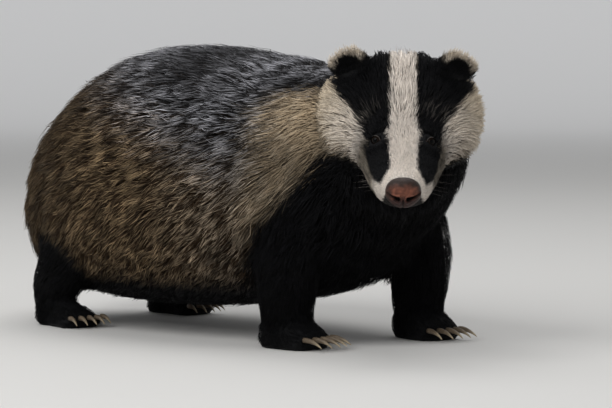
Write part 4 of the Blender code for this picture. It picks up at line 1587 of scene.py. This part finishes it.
# The studio's lights: how far towards the camera, to its right and up, the size, and the power in watts
LIGHTS = {
    "key": (1.9, -1.7, 2.2, 2.2, 71.0),
    "fill": (1.6, 2.4, 1.0, 2.5, 5.0),
    "top": (-0.8, 0.0, 2.8, 2.6, 42.0),
    "catch": (1.7, 0.15, 1.2, 0.16, 1.8),
}
LIT_PLACE = Vector((0.0, 0.0, 0.12))
STUDIO_COLOUR = (0.80, 0.82, 0.85, 1.0)
STUDIO_STRENGTH = 0.32
# The floor: radius of its flat part, how far out it turns up, and how high its rim stands
FLOOR_FLAT = 5.0
FLOOR_TURN = 3.5
FLOOR_HEIGHT = 4.0
FLOOR_COLOUR = (0.62, 0.61, 0.59, 1.0)
FLOOR_GLOW = (0.96, 0.97, 1.0, 1.0)


def aim(made, place, target):
    """Put a camera or a lamp at a place, and turn it towards a target."""
    made.location = place
    made.rotation_euler = (target - made.location).to_track_quat("-Z", "Y").to_euler()


def add_camera():
    """The camera at the photograph's angle, and the ways back to it and to its right."""
    level = np.cos(ELEVATION)
    back = Vector((np.sin(AZIMUTH) * level, -np.cos(AZIMUTH) * level, np.sin(ELEVATION)))
    right = Vector((np.cos(AZIMUTH), np.sin(AZIMUTH), 0.0))
    up = back.cross(right)
    lens = bpy.data.cameras.new("camera")
    lens.sensor_width = SENSOR
    lens.lens = FOCAL_PIXELS * SENSOR / PHOTO_WIDTH
    lens.clip_end = 200.0
    camera = add_object("camera", lens)
    aim(camera, LOOK_PLACE + back * DISTANCE, LOOK_PLACE + right * LOOK_RIGHT - up * LOOK_DOWN)
    bpy.context.scene.camera = camera
    return back, right


def add_lights(back, right):
    """Soft square lights that face the animal."""
    flat = Vector((back.x, back.y, 0.0)).normalized()
    for name, (forward, sideways, height, size, power) in LIGHTS.items():
        data = bpy.data.lights.new(name, "AREA")
        data.size = size
        data.energy = power
        place = flat * forward + right * sideways + Vector((0.0, 0.0, height))
        aim(add_object(name, data), place, LIT_PLACE)


def add_floor():
    """A pale round floor that turns up into a wall all round past its flat part.

    Its height there is z = H ((r - flat) / turn)^3. It glows faintly far out, so that the wall stays pale.
    """
    rings, sides = 48, 96
    r = np.linspace(0.05, FLOOR_FLAT + FLOOR_TURN, rings)
    z = FLOOR_HEIGHT * np.clip((r - FLOOR_FLAT) / FLOOR_TURN, 0.0, 1.0) ** 3
    u = full_turn(sides)
    rows = np.stack((r[:, None] * np.cos(u), r[:, None] * np.sin(u), z[:, None] * np.ones(sides)), -1)
    floor = add_object("floor", smooth_mesh("floor", rows, closed_faces(rings, sides)[:-1]))
    pale = Finish("pale_floor", 0.9)
    far = pale.add("VectorMath", {0: pale.place()}, operation="LENGTH")
    spread = {"Value": far.outputs["Value"], "From Min": 2.5, "From Max": 7.5, "To Max": 0.32}
    glow = pale.add("MapRange", spread, interpolation_type="SMOOTHSTEP")
    pale.set({"Base Color": FLOOR_COLOUR, "Emission Color": FLOOR_GLOW})
    pale.set({"Emission Strength": glow.outputs["Result"]})
    floor.data.materials.append(pale.material)


def shade_property(title, red, green, blue):
    """A colour property whose default is given as it looks on screen."""
    return FloatVectorProperty(
        name=title,
        description="Colour of this part of the coat or skin",
        subtype="COLOR",
        size=3,
        min=0.0,
        max=1.0,
        default=tuple(linear(red, green, blue)),
    )


class BadgerColours(PropertyGroup):
    """Colours of the coat, the skin and the claws."""

    stripe: shade_property("Stripe", 238, 228, 217)
    cheek: shade_property("Cheek", 226, 211, 188)
    black: shade_property("Black fur", 11, 11, 13)
    back_tip: shade_property("Back, tips", 162, 162, 167)
    back_band: shade_property("Back, band", 32, 31, 32)
    back_root: shade_property("Back, roots", 96, 84, 72)
    flank_tip: shade_property("Flank, tips", 150, 128, 98)
    flank_band: shade_property("Flank, band", 52, 40, 28)
    flank_root: shade_property("Flank, roots", 132, 108, 78)
    shoulder_tip: shade_property("Shoulder, tips", 162, 146, 126)
    neck_tip: shade_property("Neck, tips", 208, 190, 164)
    neck_band: shade_property("Neck, band", 186, 166, 138)
    neck_root: shade_property("Neck, roots", 164, 146, 120)
    ear_rim: shade_property("Ear rim", 216, 203, 185)
    lid: shade_property("Lid", 8, 8, 9)
    lid_rim: shade_property("Lid rim", 120, 112, 107)
    lid_corner: shade_property("Eye corner", 92, 64, 58)
    nose: shade_property("Nose", 104, 63, 49)
    nose_rim: shade_property("Nose, upper rim", 38, 30, 26)
    nose_low: shade_property("Nose, lower part", 48, 28, 24)
    claw_root: shade_property("Claw, root", 92, 80, 66)
    claw_tip: shade_property("Claw, tip", 150, 136, 112)


class BadgerSizes(PropertyGroup):
    """Fineness of the skin and fullness of the coat."""

    voxel: FloatProperty(
        name="Skin fineness",
        description="Size of the skin's faces",
        subtype="DISTANCE",
        unit="LENGTH",
        default=0.0026,
        min=0.0015,
        max=0.01,
    )
    fullness: FloatProperty(
        name="Coat fullness",
        description="How many strands grow, against a full coat",
        subtype="FACTOR",
        default=1.0,
        min=0.02,
        max=1.5,
    )
    most: IntProperty(
        name="Faces in a piece",
        description="Most triangles that one piece of coat holds",
        default=190000,
        min=10000,
        max=198000,
    )


class BADGER_OT_skin(Operator):
    """Make the skin that carries the coat, in place of the solids of the body"""

    bl_idname = "badger.skin"
    bl_label = "Skin"

    def execute(self, context):
        skin = make_skin(context.scene.badger_sizes.voxel)
        points, normals, _ = mesh_arrays(skin.data)
        depth = coat_depth(points, *form_weights(points))
        level = np.zeros(len(points))
        marks = markings(points + normals * (depth * 0.7)[:, None], normals, level)
        root, _, tip, _ = ear_marks(points, marks, level)
        # Painted shade: the skin under the coat is darkened, most where the coat is deep.
        short = fall(depth, 0.002, 0.008)
        paint(skin.data, blend(root * 0.45, blend(root, tip, 0.5) * 0.75, short))
        limbs = ["%s_%s" % (kind, foot) for kind in ("leg", "paw") for foot in FEET]
        flesh = ("trunk", "neck", "head", "tail", "ear_left", "ear_right", *limbs)
        fit(skin, skin_material(), "face_coat", *flesh)
        return {"FINISHED"}


# For each region of the coat: its finish in the record, and the rings in a strand
COATS = {
    "trunk": ("grizzled_coat", 2),
    "neck": ("cream_coat", 2),
    "head": ("face_coat", 2),
    "face": ("face_coat", 1),
    "tail": ("cream_coat", 2),
    "legs": ("dark_coat", 1),
    "feet": ("dark_coat", 1),
    "ears": ("ear_coat", 2),
}


class BADGER_OT_coat(Operator):
    """Grow the coat over the skin, in tufts that follow its lie"""

    bl_idname = "badger.coat"
    bl_label = "Coat"

    def execute(self, context):
        sizes = context.scene.badger_sizes
        strands = grow_strands(sizes.fullness * (1.0))
        material = fur_material()
        draw = np.random.default_rng(SEED + 20)
        for kind in REGIONS:
            chosen = draw.permutation(np.flatnonzero(is_in(strands["region"], kind)))
            slot, rings = COATS[kind]
            pieces = int(np.ceil(len(chosen) * 6 * rings / sizes.most))
            for i, part in enumerate(np.array_split(chosen, pieces)):
                coat_piece("coat_%s_%d" % (kind, i + 1), strands, part, rings, slot, material)
        return {"FINISHED"}


class BADGER_OT_eyes(Operator):
    """Make both eyes and their lids"""

    bl_idname = "badger.eyes"
    bl_label = "Eyes and lids"

    def execute(self, context):
        wet = eye_material()
        lid = tinted_material("lid_skin", 0.0007, 0.0002, 0.7, specular=0.04)
        for side in (1, -1):
            make_eye(side, wet)
            make_lids(side, lid)
        return {"FINISHED"}


class BADGER_OT_nose(Operator):
    """Make the nose pad and the whiskers"""

    bl_idname = "badger.nose"
    bl_label = "Nose and whiskers"

    def execute(self, context):
        make_nose(tinted_material("nose_skin", 0.0009, 0.0005, 0.42, specular=0.16, coat=0.05))
        make_whiskers(tinted_material("whisker", 0.002, 0.0001, 0.4))
        return {"FINISHED"}


class BADGER_OT_claws(Operator):
    """Make the claws of all four feet"""

    bl_idname = "badger.claws"
    bl_label = "Claws"

    def execute(self, context):
        horn = tinted_material("horn", 0.0012, 0.0001, 0.42)
        for foot in FEET:
            for number in range(TOES):
                make_claw(foot, number, horn)
        return {"FINISHED"}


class BADGER_OT_stage(Operator):
    """Set the camera, the soft light and the pale floor"""

    bl_idname = "badger.stage"
    bl_label = "Stage"

    def execute(self, context):
        add_lights(*add_camera())
        add_floor()
        world = bpy.data.worlds.new("studio")
        world.use_nodes = True
        sky = world.node_tree.nodes["Background"].inputs
        sky["Color"].default_value = STUDIO_COLOUR
        sky["Strength"].default_value = STUDIO_STRENGTH
        context.scene.world = world
        context.scene.view_settings.view_transform = "Standard"
        return {"FINISHED"}


OPERATORS = (
    BADGER_OT_skin,
    BADGER_OT_coat,
    BADGER_OT_eyes,
    BADGER_OT_nose,
    BADGER_OT_claws,
    BADGER_OT_stage,
)


class BADGER_PT_panel(Panel):
    """The badger's pieces, sizes and colours"""

    bl_label = "Badger"
    bl_idname = "BADGER_PT_panel"
    bl_space_type = "VIEW_3D"
    bl_region_type = "UI"
    bl_category = "Badger"

    def draw(self, context):
        layout = self.layout
        for group in (context.scene.badger_sizes, context.scene.badger_colours):
            for key in group.__annotations__:
                layout.prop(group, key)
        for operator in OPERATORS:
            layout.operator(operator.bl_idname)


CLASSES = (BadgerColours, BadgerSizes, *OPERATORS, BADGER_PT_panel)


def register():
    """Register the classes and put the properties on the scene."""
    for made in CLASSES:
        bpy.utils.register_class(made)
    bpy.types.Scene.badger_colours = PointerProperty(type=BadgerColours)
    bpy.types.Scene.badger_sizes = PointerProperty(type=BadgerSizes)


def unregister():
    """Take the properties and the classes away again."""
    del bpy.types.Scene.badger_sizes
    del bpy.types.Scene.badger_colours
    for made in reversed(CLASSES):
        bpy.utils.unregister_class(made)


def main():
    """Make every piece in order."""
    register()
    bpy.ops.badger.skin()
    bpy.ops.badger.coat()
    bpy.ops.badger.eyes()
    bpy.ops.badger.nose()
    bpy.ops.badger.claws()
    bpy.ops.badger.stage()


if __name__ == "__main__":
    main()
